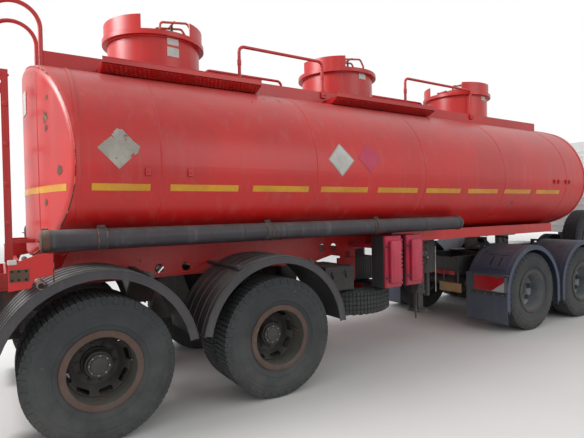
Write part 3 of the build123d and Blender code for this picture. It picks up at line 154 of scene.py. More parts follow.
def bar(low, high, edge=0.003, segments=1):
    """Box between two corners, its edges bevelled."""
    free()
    low, high = [min(a, b) for a, b in zip(low, high)], [max(a, b) for a, b in zip(low, high)]
    bpy.ops.mesh.primitive_cube_add(
        size=1, location=[(a + b) / 2 for a, b in zip(low, high)], scale=[b - a for a, b in zip(low, high)]
    )
    obj = settle(bpy.context.active_object)
    if edge:
        edge = min(edge, 0.45 * min(b - a for a, b in zip(low, high)))
        edit(obj)
        bpy.ops.mesh.bevel(offset=edge, segments=segments, affect="EDGES")
        free()
    return obj


def rod(start, end, radius, sides=12, edge=0.0, end_radius=None):
    """Round bar from one point to another, its end rims bevelled; a cone if it has an end radius."""
    free()
    start, end = Vector(start), Vector(end)
    axis = end - start
    turn = axis.to_track_quat("Z", "Y").to_euler()
    if end_radius is None:
        bpy.ops.mesh.primitive_cylinder_add(
            vertices=sides, radius=radius, depth=axis.length, location=(start + end) / 2, rotation=turn
        )
    else:
        bpy.ops.mesh.primitive_cone_add(
            vertices=sides, radius1=radius, radius2=end_radius, depth=axis.length,
            location=(start + end) / 2, rotation=turn,
        )
    obj = settle(bpy.context.active_object)
    if edge:
        pointing = axis.normalized()
        edit(obj, lambda face: abs(face.normal.dot(pointing)) > 0.99)
        bpy.ops.mesh.bevel(offset=edge, segments=1, affect="EDGES")
        free()
    return obj


def nut(centre, direction, radius, height=0.7):
    """Six-sided nut with a stud's round end standing out of it."""
    axis = Vector(direction).normalized()
    centre = Vector(centre)
    body = rod(centre, centre + axis * radius * height, radius, sides=6, edge=radius * 0.14)
    stud = rod(centre, centre + axis * radius * (height + 0.45), radius * 0.48, sides=8, edge=radius * 0.1)
    return joined([body, stud])


def hoop(centre, axis, major, minor, steps=48, sides=8):
    """Ring of round section about an axis."""
    free()
    bpy.ops.mesh.primitive_torus_add(
        major_radius=major, minor_radius=minor, major_segments=steps, minor_segments=sides,
        location=centre, rotation=Vector(axis).to_track_quat("Z", "Y").to_euler(),
    )
    return settle(bpy.context.active_object)


def turned(profile, centre, axis, out, steps=48):
    """Shape spun about an axis from a profile, given as (along the axis, away from it)."""
    free()
    centre, axis, out = Vector(centre), Vector(axis).normalized(), Vector(out).normalized()
    points = [centre + axis * along + out * away for along, away in profile]
    bpy.ops.mesh.primitive_plane_add(size=0.001, location=points[0])
    obj = settle(bpy.context.active_object)
    edit(obj, kind="VERT")
    bpy.ops.mesh.merge(type="CENTER")
    for here, there in zip(points, points[1:]):
        bpy.ops.mesh.extrude_region_move(TRANSFORM_OT_translate={"value": there - here})
    bpy.ops.mesh.select_all(action="SELECT")
    bpy.ops.mesh.spin(steps=steps, angle=2 * pi, center=centre, axis=axis)
    free()
    return tidy_normals(obj)


def pipe(points, radius, sides=8, loop=False):
    """Round tube along straight runs, from a path whose bends are points."""
    free()
    line = bpy.data.curves.new("run", "CURVE")
    line.dimensions = "3D"
    run = line.splines.new("POLY")
    run.points.add(len(points) - 1)
    for point, place in zip(run.points, points):
        point.co = (*place, 1)
    run.use_cyclic_u = loop
    line.bevel_depth, line.bevel_resolution, line.use_fill_caps = radius, max(0, sides // 4 - 1), True
    obj = bpy.data.objects.new("run", line)
    bpy.context.scene.collection.objects.link(obj)
    pick(obj)
    bpy.ops.object.convert(target="MESH")
    return tidy_normals(bpy.context.active_object)


def bend(corner, radius, start, end, count=6):
    """Points on the arc that rounds a corner between the directions to its neighbours."""
    corner, start, end = Vector(corner), Vector(start), Vector(end)
    a, b = (start - corner).normalized(), (end - corner).normalized()
    first, last = corner + a * radius, corner + b * radius
    return [
        (1 - t) ** 2 * first + 2 * t * (1 - t) * corner + t**2 * last
        for t in (number / count for number in range(count + 1))
    ]


def rounded(points, radius, count=6):
    """Path through the points with its inner corners rounded."""
    points = [Vector(point) for point in points]
    path = [points[0]]
    for before, corner, after in zip(points, points[1:], points[2:]):
        path += bend(corner, radius, before, after, count)
    return path + [points[-1]]


def slab(outline, thickness, edge=0.0):
    """Flat plate: its outline of points is filled, extruded by the thickness vector and bevelled."""
    free()
    outline = [Vector(point) for point in outline]
    bpy.ops.mesh.primitive_circle_add(vertices=len(outline), radius=1, location=(0, 0, 0))
    obj = bpy.context.active_object
    for vertex, place in zip(obj.data.vertices, outline):
        vertex.co = place
    edit(obj, kind="VERT")
    bpy.ops.mesh.edge_face_add()
    bpy.ops.mesh.extrude_region_move(TRANSFORM_OT_translate={"value": Vector(thickness)})
    bpy.ops.mesh.select_all(action="SELECT")
    bpy.ops.mesh.normals_make_consistent(inside=False)
    if edge:
        bpy.ops.mesh.bevel(offset=edge, segments=1, affect="EDGES")
    free()
    return obj


def joined(objects):
    """Several objects as one."""
    objects = [obj for obj in objects if obj is not None]
    pick(objects[0])
    for obj in objects[1:]:
        obj.select_set(True)
    if len(objects) > 1:
        bpy.ops.object.join()
    return bpy.context.active_object


def copied(obj, matrix):
    """Copy with its own mesh, moved by a matrix, faces kept outwards if the matrix mirrors."""
    twin = obj.copy()
    twin.data = obj.data.copy()
    twin.data.transform(matrix)
    if matrix.determinant() < 0:
        twin.data.flip_normals()
    bpy.context.scene.collection.objects.link(twin)
    return twin


def arrayed(obj, *rows):
    """The object repeated in one or more directions, each given as (count, step)."""
    pick(obj)
    for count, step in rows:
        repeat = obj.modifiers.new("repeat", "ARRAY")
        repeat.count, repeat.use_relative_offset, repeat.use_constant_offset = count, False, True
        repeat.constant_offset_displace = step
        bpy.ops.object.modifier_apply(modifier=repeat.name)
    return obj


def oblong(across, far, low, high):
    """Four corners of an upright rectangle in order round it."""
    return (across, low), (far, low), (far, high), (across, high)


def on_circle(x, z, radius, degrees):
    """Point (X, Z) of a circle about a line across the lorry, at an angle from forward."""
    return x + radius * cos(radians(degrees)), z + radius * sin(radians(degrees))


def arc(x, z, radius, start, end, y, count=28):
    """Points on an arc about a line across the lorry, between two angles from forward."""
    angles = [radians(start + (end - start) * number / count) for number in range(count + 1)]
    return [(x + radius * cos(angle), y, z + radius * sin(angle)) for angle in angles]


def leaf_line(start, end, half):
    """Thin ledge along a spring leaf's edge, on both sides of the spring."""
    start, end = Vector(start), Vector(end)
    ledges = []
    for way in (-half, half):
        ledges.append(rod(start + Vector((0, way, 0)), end + Vector((0, way, 0)), 0.005, 6))
    return joined(ledges)


def around(obj, centre, axis, count, start=0.0):
    """Copies of the object turned about an axis, as one."""
    centre = Vector(centre)
    copies = []
    for number in range(count):
        turn = Matrix.Rotation(start + 2 * pi * number / count, 4, Vector(axis))
        copies.append(copied(obj, Matrix.Translation(centre) @ turn @ Matrix.Translation(-centre)))
    bpy.data.objects.remove(obj)
    return joined(copies)


def both_sides(make, *values):
    """What make(side, *values) builds for the right and the left of the lorry, as one."""
    return joined([make(side, *values) for side in (-1, 1)])


def dressed(obj, finish):
    """Give an object one finish."""
    obj.data.materials.clear()
    obj.data.materials.append(FINISHED[finish])
    return obj


class Forms(list):
    """The forms of one piece as they are made, each in its own finish."""

    def add(self, finish, make, *sizes, **more):
        """Make a form by its function and sizes, give it its finish and keep it."""
        self.append(dressed(make(*sizes, **more), finish))


def piece(obj, name, body, slot, finish=None, angle=35):
    """Name the finished object or list of forms, shade it, and let it ride on its body."""
    if isinstance(obj, list):
        obj = joined(obj)
    if finish:
        dressed(obj, finish)
    settle(obj)
    obj.name = name
    bpy.ops.object.shade_smooth_by_angle(angle=radians(angle))
    free()
    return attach(obj, body)


# The tank's skin
def skin(turn, grow=0.0):
    """Point (Y, Z) of the tank's section in a direction from its middle, moved out by a distance."""
    across, up = cos(turn), sin(turn)
    height, side = (TANK_RISE, UPPER_SIDE) if up >= 0 else (TANK_DROP, LOWER_SIDE)
    sign = 1 if up >= 0 else -1
    side_y = TANK_HALF - side
    flat = (side_y**2 + height**2 - side**2) / (2 * (height - side))
    drop = flat - height
    crown_y = (flat + grow) / hypot(side_y, drop) * side_y
    reach = -sign * up * drop + sqrt(drop**2 * up**2 - drop**2 + (flat + grow) ** 2)
    if abs(across * reach) > crown_y:
        level = abs(across) * side_y
        reach = level + sqrt(level**2 - side_y**2 + (side + grow) ** 2)
    return across * reach, TANK_MIDDLE + up * reach


def skin_y(z, grow=0.0):
    """How far out the tank's side is at a height."""
    side = UPPER_SIDE if z >= TANK_MIDDLE else LOWER_SIDE
    return TANK_HALF - side + sqrt((side + grow) ** 2 - (z - TANK_MIDDLE) ** 2)


def rear_skin_x(y, grow=0.0):
    """Where the tank's bowed rear end is at a distance from the middle."""
    return REAR_BOW_X - sqrt((BOW_RADIUS + grow) ** 2 - y**2)


def wrapped(columns, rows, place, thickness=0.0):
    """Grid laid on a curved surface: place(u, v) gives each corner, u and v from 0 to 1."""
    free()
    bpy.ops.mesh.primitive_grid_add(x_subdivisions=columns, y_subdivisions=rows, size=1)
    obj = bpy.context.active_object
    for vertex in obj.data.vertices:
        vertex.co = place(vertex.co.x + 0.5, vertex.co.y + 0.5)
    if thickness:
        solid = obj.modifiers.new("thickness", "SOLIDIFY")
        solid.thickness = thickness
        solid.offset = 0
        bpy.ops.object.modifier_apply(modifier=solid.name)
    return obj


def side_patch(side, corners, grow, thickness, columns=6, rows=6):
    """Thin patch on the tank's side between four corners, given as (X, Z) in order round it."""
    a, b, c, d = corners

    def place(u, v):
        x = (1 - u) * (1 - v) * a[0] + u * (1 - v) * b[0] + u * v * c[0] + (1 - u) * v * d[0]
        z = (1 - u) * (1 - v) * a[1] + u * (1 - v) * b[1] + u * v * c[1] + (1 - u) * v * d[1]
        return x, side * skin_y(z, grow), z

    return wrapped(columns, rows, place, thickness)


# Finishes
FINISHED = {}
GROUPS = {}


def tone(red, green, blue):
    """Colour as seen on a screen, from 0 to 255, made linear."""
    shares = (red / 255, green / 255, blue / 255)
    return tuple(c / 12.92 if c <= 0.04045 else ((c + 0.055) / 1.055) ** 2.4 for c in shares)


class Nodes:
    """A node tree being wired: each call adds a node, sets it up and feeds its inputs."""

    def __init__(self, tree):
        self.tree = tree

    def add(self, kind, feeds=(), **settings):
        node = self.tree.nodes.new(kind)
        for name, value in settings.items():
            setattr(node, name, value)
        for socket, value in dict(feeds).items():
            if isinstance(value, bpy.types.NodeSocket):
                self.tree.links.new(value, node.inputs[socket])
            elif isinstance(value, tuple) and len(value) == 3 and node.inputs[socket].type == "RGBA":
                node.inputs[socket].default_value = (*value, 1)
            else:
                node.inputs[socket].default_value = value
        return node

    def where(self):
        return self.add("ShaderNodeTexCoord").outputs["Object"]

    def surface(self, feeds):
        shader = self.add("ShaderNodeBsdfPrincipled", feeds)
        self.add("ShaderNodeOutputMaterial", {"Surface": shader.outputs[0]})

    def mix(self, factor, first, second, blend="MIX"):
        return self.add(
            "ShaderNodeMix", {0: factor, 6: first, 7: second}, data_type="RGBA", blend_type=blend
        ).outputs[2]

    def maths(self, operation, first, second=0.5, clamp=False):
        return self.add(
            "ShaderNodeMath", {0: first, 1: second}, operation=operation, use_clamp=clamp
        ).outputs[0]

    def stretch(self, value, low, high, to_low=0.0, to_high=1.0, smooth=True):
        feeds = {"Value": value, "From Min": low, "From Max": high, "To Min": to_low, "To Max": to_high}
        kind = "SMOOTHSTEP" if smooth else "LINEAR"
        return self.add("ShaderNodeMapRange", feeds, interpolation_type=kind).outputs[0]

    def noise(self, where, scale, detail=3.0, rough=0.55, shift=0.0):
        feeds = {"Vector": where, "Scale": scale, "Detail": detail, "Roughness": rough, "Distortion": shift}
        return self.add("ShaderNodeTexNoise", feeds).outputs["Fac"]

    def waves(self, where, scale, way):
        feeds = {"Vector": where, "Scale": scale}
        return self.add("ShaderNodeTexWave", feeds, bands_direction=way).outputs["Fac"]


def node_group(name, inputs, outputs):
    """New shader group with named sockets, given as (name, kind, default)."""
    tree = bpy.data.node_groups.new(name, "ShaderNodeTree")
    for label, kind, default in inputs:
        socket = tree.interface.new_socket(label, in_out="INPUT", socket_type=kind)
        socket.default_value = (*default, 1) if kind == "NodeSocketColor" else default
    for label, kind in outputs:
        tree.interface.new_socket(label, in_out="OUTPUT", socket_type=kind)
    GROUPS[name] = tree
    wires = Nodes(tree)
    return wires, tree.nodes.new("NodeGroupInput").outputs, tree.nodes.new("NodeGroupOutput").inputs


def build_groups():
    """The effects that several finishes share: mottled paint, chips, dust that also paints light on upward
    faces, cloth weave.
    """
    colour, number = "NodeSocketColor", "NodeSocketFloat"

    wires, given, out = node_group(
        "Mottled paint",
        [("Colour", colour, (0.5, 0.5, 0.5)), ("Second", colour, (0.4, 0.4, 0.4)), ("Scale", number, 1.5)],
        [("Colour", colour)],
    )
    where = wires.where()
    broad = wires.stretch(wires.noise(where, given["Scale"], 4.0), 0.35, 0.65)
    fine = wires.stretch(wires.noise(where, wires.maths("MULTIPLY", given["Scale"], 9.0), 3.0), 0.3, 0.75, 0.0,
                         0.35)
    share = wires.maths("ADD", wires.maths("MULTIPLY", broad, 0.75), fine, clamp=True)
    wires.tree.links.new(wires.mix(share, given["Colour"], given["Second"]), out["Colour"])

    wires, given, out = node_group(
        "Chips",
        [("Colour", colour, (0.5, 0.5, 0.5)), ("Chip", colour, (0.1, 0.05, 0.03)), ("Scale", number, 9.0),
         ("Share", number, 0.1)],
        [("Colour", colour), ("Mask", number)],
    )
    where = wires.where()
    flakes = wires.noise(where, given["Scale"], 8.0, 0.62, 0.3)
    place = wires.noise(where, wires.maths("MULTIPLY", given["Scale"], 0.13), 2.0)
    level = wires.maths("ADD", wires.maths("MULTIPLY", flakes, 0.6), wires.maths("MULTIPLY", place, 0.4))
    edge = wires.maths("SUBTRACT", 0.72, wires.maths("MULTIPLY", given["Share"], 0.42))
    mask = wires.stretch(level, edge, wires.maths("ADD", edge, 0.025))
    wires.tree.links.new(wires.mix(mask, given["Colour"], given["Chip"]), out["Colour"])
    wires.tree.links.new(mask, out["Mask"])

    wires, given, out = node_group(
        "Road dust and lit tops",
        [("Colour", colour, (0.5, 0.5, 0.5)), ("Dust", colour, (0.3, 0.28, 0.25)), ("Tops", number, 0.5),
         ("Low", number, 0.5), ("Height", number, 1.4), ("Streaks", number, 0.2)],
        [("Colour", colour), ("Mask", number)],
    )
    where = wires.where()
    facing = wires.add("ShaderNodeSeparateXYZ", {0: wires.add("ShaderNodeNewGeometry").outputs["Normal"]})
    height = wires.add("ShaderNodeSeparateXYZ", {0: where}).outputs["Z"]
    patchy = wires.stretch(wires.noise(where, 5.0, 6.0, 0.65), 0.28, 0.68)
    # Upward faces turn towards the dust colour: settled dust, and painted sunlight on the tops as well.
    tops = wires.maths("MULTIPLY", wires.stretch(facing.outputs["Z"], 0.3, 0.95), given["Tops"])
    low = wires.maths("MULTIPLY", wires.stretch(height, given["Height"], 0.0), given["Low"])
    hanging = wires.add("ShaderNodeMapping", {"Vector": where, "Scale": (7.0, 7.0, 0.45)}).outputs[0]
    runs = wires.stretch(wires.noise(hanging, 1.6, 4.0, 0.6), 0.5, 0.78)
    runs = wires.maths("MULTIPLY", runs, given["Streaks"])
    settled_dust_and_lit_tops = wires.maths("MULTIPLY", wires.maths("MAXIMUM", tops, low),
                          wires.stretch(patchy, 0.0, 1.0, 0.45, 1.0, False))
    mask = wires.maths("ADD", settled_dust_and_lit_tops, runs, clamp=True)
    wires.tree.links.new(wires.mix(mask, given["Colour"], given["Dust"]), out["Colour"])
    wires.tree.links.new(mask, out["Mask"])

    wires, given, out = node_group(
        "Cloth weave", [("Colour", colour, (0.1, 0.1, 0.1)), ("Threads", number, 420.0)],
        [("Colour", colour), ("Height", number)],
    )
    where = wires.where()
    warp = wires.waves(where, given["Threads"], "Y")
    weft = wires.waves(where, given["Threads"], "DIAGONAL")
    cloth = wires.maths("MULTIPLY", warp, weft)
    lighter = wires.mix(0.5, given["Colour"], (0.5, 0.5, 0.5), "SCREEN")
    wires.tree.links.new(
        wires.mix(wires.maths("MULTIPLY", cloth, 0.5), given["Colour"], lighter), out["Colour"]
    )
    wires.tree.links.new(cloth, out["Height"])


Finish = namedtuple(
    "Finish",
    "name colour second rough metal coat mottle chip share flakes tops low streaks grain relief",
)
# The dust colour also stands for painted light on upward faces.
RUST, DUST_AND_TOP_LIGHT, BARE = (88, 50, 36), (140, 139, 134), (120, 118, 114)
# Each row's share for upward faces lays both dust and painted light on them.
LOOKS = (
    ("tank_red", (192, 26, 22), (173, 28, 27), 0.36, 0, 0.1, 0.9, RUST, 0.14, 9, 0.22, 0.16, 0.12, 60, 0.0006),
    ("lid_orange", (196, 82, 58), (176, 66, 54), 0.45, 0, 0.1, 3, RUST, 0.3, 12, 0.45, 0, 0.2, 90, 0.0006),
    ("case_grey", (46, 41, 48), (38, 34, 40), 0.5, 0, 0.05, 2, RUST, 0.16, 12, 0.35, 0.1, 0.2, 90, 0.0005),
    ("fender_charcoal", (56, 53, 57), (44, 42, 47), 0.5, 0, 0, 3, BARE, 0.1, 18, 0.55, 0.25, 0.1, 140, 0.0006),
    ("fender_blue_black", (52, 62, 86), (43, 52, 72), 0.5, 0, 0, 2.5, BARE, 0.08, 20, 0.32, 0.22, 0.08, 160,
     0.0005),
    ("box_crimson", (188, 36, 68), (164, 34, 60), 0.42, 0, 0.1, 5, BARE, 0.12, 22, 0.2, 0.15, 0.12, 160,
     0.0004),
    ("black_steel", (30, 28, 30), (40, 36, 36), 0.55, 0.2, 0, 4, RUST, 0.35, 9, 0.45, 0.3, 0.12, 70, 0.001),
    ("leg_grey", (48, 44, 44), (40, 35, 34), 0.6, 0.2, 0, 5, RUST, 0.35, 8, 0.4, 0.25, 0.12, 70, 0.001),
    ("axle_black", (38, 36, 35), (50, 45, 42), 0.7, 0.1, 0, 4, RUST, 0.4, 8, 0.55, 0.45, 0.1, 60, 0.0015),
    ("frame_dark", (40, 39, 44), (50, 48, 51), 0.55, 0.1, 0, 2, RUST, 0.25, 9, 0.45, 0.3, 0.1, 70, 0.0008),
    ("coupling_grey", (120, 118, 114), (86, 80, 74), 0.45, 0.5, 0, 6, RUST, 0.35, 9, 0.3, 0.1, 0.1, 80, 0.0008),
    ("tyre", (31, 34, 37), (40, 44, 48), 0.8, 0, 0, 6, (76, 78, 77), 0.14, 16, 0.16, 0.22, 0.0, 180, 0.0008),
    ("rim_green_grey", (84, 84, 76), (66, 66, 58), 0.6, 0.15, 0, 6, RUST, 0.35, 14, 0.35, 0.25, 0.0, 120,
     0.0005),
    ("rim_grey", (140, 147, 151), (112, 119, 124), 0.45, 0.3, 0, 6, RUST, 0.2, 16, 0.3, 0.25, 0.0, 120, 0.0004),
    ("rim_rust", (88, 58, 48), (70, 52, 44), 0.75, 0.1, 0, 12, (104, 88, 76), 0.3, 22, 0.2, 0.2, 0.0, 120,
     0.0008),
    ("hub_dark", (40, 39, 36), (56, 53, 49), 0.6, 0.3, 0, 14, RUST, 0.3, 20, 0.35, 0.25, 0.0, 120, 0.0008),
    ("cab_white", (224, 226, 226), (212, 214, 214), 0.3, 0, 0.4, 1.2, (110, 96, 84), 0.06, 14, 0.12, 0.28, 0.1,
     60, 0.0002),
    ("bumper_grey", (96, 98, 102), (84, 86, 90), 0.5, 0, 0.05, 3, BARE, 0.1, 18, 0.3, 0.35, 0.1, 200, 0.0004),
    ("black_plastic", (38, 39, 42), (46, 47, 50), 0.55, 0, 0, 4, BARE, 0.08, 24, 0.45, 0.3, 0.05, 320, 0.0005),
    ("tank_aluminium", (188, 190, 192), (164, 166, 168), 0.34, 0.9, 0, 5, (120, 116, 110), 0.2, 14, 0.25, 0.4,
     0.1, 90, 0.0003),
    ("engine_iron", (92, 92, 90), (66, 62, 58), 0.6, 0.4, 0, 5, RUST, 0.35, 9, 0.5, 0.5, 0.1, 60, 0.001),
    ("seal_rubber", (24, 24, 26), (34, 34, 36), 0.7, 0, 0, 8, BARE, 0.04, 24, 0.25, 0.2, 0.0, 300, 0.0003),
    ("bright_steel", (176, 174, 170), (140, 136, 130), 0.3, 0.9, 0, 10, RUST, 0.15, 20, 0.2, 0.3, 0.0, 160,
     0.0003),
    ("rusty_plate", (98, 70, 54), (76, 56, 46), 0.8, 0.1, 0, 8, (128, 96, 70), 0.4, 14, 0.5, 0.3, 0.1, 90,
     0.0012),
    ("tape_yellow", (206, 148, 20), (184, 124, 18), 0.4, 0, 0.1, 3, (150, 110, 50), 0.12, 16, 0.1, 0.1, 0.2,
     500, 0.0002),
    ("plate_white", (190, 190, 186), (168, 166, 160), 0.45, 0, 0.1, 6, (150, 140, 128), 0.25, 16, 0.15, 0.1,
     0.2, 200, 0.0002),
    ("plate_yellow", (176, 128, 38), (140, 100, 40), 0.5, 0, 0.05, 8, (96, 76, 50), 0.35, 16, 0.2, 0.5, 0.2,
     200, 0.0003),
    ("sign_magenta", (186, 24, 74), (170, 26, 66), 0.4, 0, 0.1, 4, (160, 90, 100), 0.12, 18, 0.1, 0.1, 0.2, 300,
     0.0002),
    ("torn_backing", (170, 164, 154), (146, 140, 131), 0.7, 0, 0, 7, (128, 96, 84), 0.3, 12, 0.1, 0.1, 0.2, 160,
     0.0008),
    ("worn_stay", (150, 122, 112), (120, 84, 74), 0.7, 0.1, 0, 14, RUST, 0.5, 18, 0.2, 0.2, 0.0, 160, 0.0008),
    # Pale red of worn paint that also paints the highlight along edges.
    ("worn_edge", (204, 108, 98), (176, 74, 66), 0.5, 0, 0, 9, RUST, 0.5, 16, 0.1, 0.1, 0.0, 160, 0.0006),
    ("mirror_face", (214, 218, 220), (206, 210, 212), 0.06, 1, 0, 4, DUST_AND_TOP_LIGHT, 0.05, 30, 0.1, 0.1, 0.0, 300,
     0.00005),
    ("visor_smoke", (46, 40, 36), (40, 36, 33), 0.15, 0, 0.5, 3, DUST_AND_TOP_LIGHT, 0.05, 24, 0.3, 0.0, 0.0, 200, 0.0001),
    ("dash_grey", (84, 86, 90), (74, 76, 80), 0.6, 0, 0, 4, BARE, 0.02, 24, 0.2, 0.0, 0.0, 420, 0.0004),
    # Near black: painted shade inside holes, slots and openings, and the own black of dial faces and the
    # radiator core.
    ("hole_dark", (16, 15, 15), (22, 20, 19), 0.9, 0, 0, 8, RUST, 0.1, 16, 0.1, 0.1, 0.0, 90, 0.0006),
)
FINISHES = [
    Finish(row[0], *(tone(*part) if isinstance(part, tuple) else part for part in row[1:])) for row in LOOKS
]
PAINTS = {finish.name: finish.colour for finish in FINISHES}


def bare_material(name):
    """Material without nodes, and its wires."""
    material = bpy.data.materials.new(name)
    material.use_nodes = True
    material.node_tree.nodes.clear()
    return material, Nodes(material.node_tree)


def painted(finish, weather):
    """Material of one finish: mottled colour under chips, and dust that also paints light on upward faces, with
    fine relief.
    """
    material, wires = bare_material(finish.name)
    mottled = wires.add("ShaderNodeGroup", node_tree=GROUPS["Mottled paint"])
    chipped = wires.add("ShaderNodeGroup", node_tree=GROUPS["Chips"])
    dust_and_lit_tops = wires.add("ShaderNodeGroup", node_tree=GROUPS["Road dust and lit tops"])
    for node, values in (
        (mottled, {"Colour": finish.colour, "Second": finish.second, "Scale": finish.mottle}),
        (chipped, {"Chip": finish.chip, "Scale": finish.flakes, "Share": finish.share * weather.rust}),
        (dust_and_lit_tops, {"Dust": tone(*DUST_AND_TOP_LIGHT), "Tops": finish.tops * weather.dust, "Low": finish.low * weather.dust,
                 "Streaks": finish.streaks * weather.dust}),
    ):
        for name, value in values.items():
            node.inputs[name].default_value = (*value, 1) if isinstance(value, tuple) else value
    links = material.node_tree.links
    links.new(mottled.outputs["Colour"], chipped.inputs["Colour"])
    links.new(chipped.outputs["Colour"], dust_and_lit_tops.inputs["Colour"])
    where = wires.where()
    grain = wires.noise(where, finish.grain, 4.0)
    relief = wires.maths("SUBTRACT", grain, wires.maths("MULTIPLY", chipped.outputs["Mask"], 0.6))
    bump = wires.add("ShaderNodeBump", {"Strength": 0.6, "Distance": finish.relief, "Height": relief})
    worn = wires.maths("MAXIMUM", chipped.outputs["Mask"], dust_and_lit_tops.outputs["Mask"])
    rough = wires.stretch(worn, 0.0, 1.0, finish.rough, min(0.95, finish.rough + 0.4), False)
    feeds = {"Base Color": dust_and_lit_tops.outputs["Colour"], "Roughness": rough, "Normal": bump.outputs[0]}
    feeds["Coat Weight"] = finish.coat
    feeds["Coat Roughness"] = 0.2
    if finish.metal:
        feeds["Metallic"] = wires.stretch(worn, 0.0, 1.0, finish.metal, 0.0, False)
    wires.surface(feeds)
    return material


def clear_glass(name, colour, rough=0.03, through=1.0, glow=None):
    """Glass or lens: plain transmission under a little dust."""
    material, wires = bare_material(name)
    where = wires.where()
    haze = wires.stretch(wires.noise(where, 9.0, 5.0), 0.35, 0.75, 0.0, 0.35)
    shade = wires.mix(haze, colour, tuple(0.7 * c + 0.05 for c in colour))
    smear = wires.stretch(haze, 0.0, 0.35, rough, rough + 0.12, False)
    ribs = wires.waves(where, 60.0, "Z")
    bump = wires.add("ShaderNodeBump", {"Strength": 0.4 if glow else 0.0, "Distance": 0.001, "Height": ribs})
    feeds = {"Base Color": shade, "Roughness": smear, "Transmission Weight": through, "IOR": 1.45}
    if glow:
        feeds["Normal"] = bump.outputs[0]
    wires.surface(feeds)
    return material


def woven(name, colour):
    """Seat cloth with its weave and soft sheen."""
    material, wires = bare_material(name)
    mottled = wires.add("ShaderNodeGroup", node_tree=GROUPS["Mottled paint"])
    weave = wires.add("ShaderNodeGroup", node_tree=GROUPS["Cloth weave"])
    mottled.inputs["Colour"].default_value = (*colour, 1)
    mottled.inputs["Second"].default_value = (*[0.7 * c for c in colour], 1)
    mottled.inputs["Scale"].default_value = 5.0
    material.node_tree.links.new(mottled.outputs["Colour"], weave.inputs["Colour"])
    bump = wires.add("ShaderNodeBump", {"Strength": 0.5, "Distance": 0.0008, "Height": weave.outputs["Height"]})
    feeds = {"Base Color": weave.outputs["Colour"], "Roughness": 0.9, "Normal": bump.outputs[0],
             "Sheen Weight": 0.25}
    wires.surface(feeds)
    return material


# What a user may change
def colour_property(name, description, default):
    return bpy.props.FloatVectorProperty(
        name=name, description=description, default=default, subtype="COLOR", size=3, min=0, max=1
    )


def length_property(name, description, default, most=2.0):
    return bpy.props.FloatProperty(
        name=name, description=description, default=default, min=0.0005, max=most, unit="LENGTH", precision=4
    )


def share_property(name, description, default, most=1.0):
    return bpy.props.FloatProperty(
        name=name, description=description, default=default, min=0, max=most, subtype="FACTOR"
    )


class LorryPaint(bpy.types.PropertyGroup):
    """Colours and weathering of the lorry"""

    tank: colour_property("Tank paint", "Red of the barrel, its frame and the walkway", PAINTS["tank_red"])
    lid: colour_property("Hatch paint", "Orange red of the three hatch lids", PAINTS["lid_orange"])
    boxes: colour_property("Box colour", "Crimson of the extinguisher boxes", PAINTS["box_crimson"])
    trailer_fenders: colour_property(
        "Trailer fenders", "Charcoal of the trailer's fenders", PAINTS["fender_charcoal"]
    )
    tractor_fenders: colour_property(
        "Tractor fenders", "Blue black of the tractor's fenders", PAINTS["fender_blue_black"]
    )
    cab: colour_property("Cab paint", "White of the cab", PAINTS["cab_white"])
    tape: colour_property("Reflective tape", "Yellow of the dashes along the tank", PAINTS["tape_yellow"])
    # Also scales the painted light on upward faces.
    dust: share_property("Road dust and lit tops", "How much dust lies on every surface", 1.0, 2.0)
    rust: share_property("Rust", "How far chips and rust have spread", 1.0, 2.0)


class LorryDetails(bpy.types.PropertyGroup):
    """Sizes of the added details"""

    tape_level: length_property("Tape level", "Height of the dashes' middle above the ground", 1.9, 3)
    tape_height: length_property("Tape width", "Height of each dash", 0.052)
    seam_width: length_property("Seam width", "Width of the weld seams round the barrel", 0.014)
    seam_rise: length_property("Seam rise", "How far a weld seam stands out", 0.003)
    tread_depth: length_property("Tread depth", "Depth of the grooves between tread blocks", 0.012)
    wheel_nut: length_property("Wheel nut", "Half width of a wheel nut", 0.017)
    fender_rib: length_property("Fender rib", "Half width of a rib along a fender", 0.008)
    grip_pitch: length_property("Grip pitch", "Distance between the raised studs of the walkway", 0.058)
    seal_radius: length_property("Window seal", "Half width of the rubber round the cab's windows", 0.011)


class LorryStudio(bpy.types.PropertyGroup):
    """Studio the lorry stands in"""

    lens: length_property("Lens", "Focal length on a 36 mm wide picture, in metres", 0.028575)
    sky: share_property("Sky strength", "Strength of the soft light from all round", 0.72, 2.0)
    key: bpy.props.FloatProperty(name="Key strength", description="Strength of the large lamp", default=2.3,
                                 min=0, max=10)
    floor: colour_property("Floor", "Pale colour of the floor", (0.72, 0.72, 0.71))


# Operators
class LORRY_OT_finish_solids(bpy.types.Operator):
    """Mix every finish and give it to the solids of the lorry"""

    bl_idname = "lorry.finish_solids"
    bl_label = "Finish the solids"

    def execute(self, context):
        look = context.scene.lorry_paint
        own = {
            "tank_red": look.tank, "lid_orange": look.lid, "box_crimson": look.boxes, "cab_white": look.cab,
            "fender_charcoal": look.trailer_fenders, "fender_blue_black": look.tractor_fenders,
            "tape_yellow": look.tape,
        }
        build_groups()
        for finish in FINISHES:
            if finish.name in own:
                finish = finish._replace(colour=tuple(own[finish.name]))
            FINISHED[finish.name] = painted(finish, look)
        FINISHED["glass"] = clear_glass("glass", tone(200, 208, 208))
        FINISHED["lens_red"] = clear_glass("lens_red", tone(196, 20, 30), 0.12, 0.35, True)
        FINISHED["lens_clear"] = clear_glass("lens_clear", tone(222, 226, 230), 0.1, 0.5, True)
        FINISHED["lens_amber"] = clear_glass("lens_amber", tone(224, 120, 20), 0.12, 0.35, True)
        FINISHED["seat_cloth"] = woven("seat_cloth", tone(62, 66, 76))
        for name, solid in frame["nodes"].items():
            for place in solid.material_slots:
                slot = place.material.name.split(".")[0]
                if slot not in FINISHED:
                    raise RuntimeError(f"no finish for {slot} on {name}")
                place.material = FINISHED[slot]
        return {"FINISHED"}


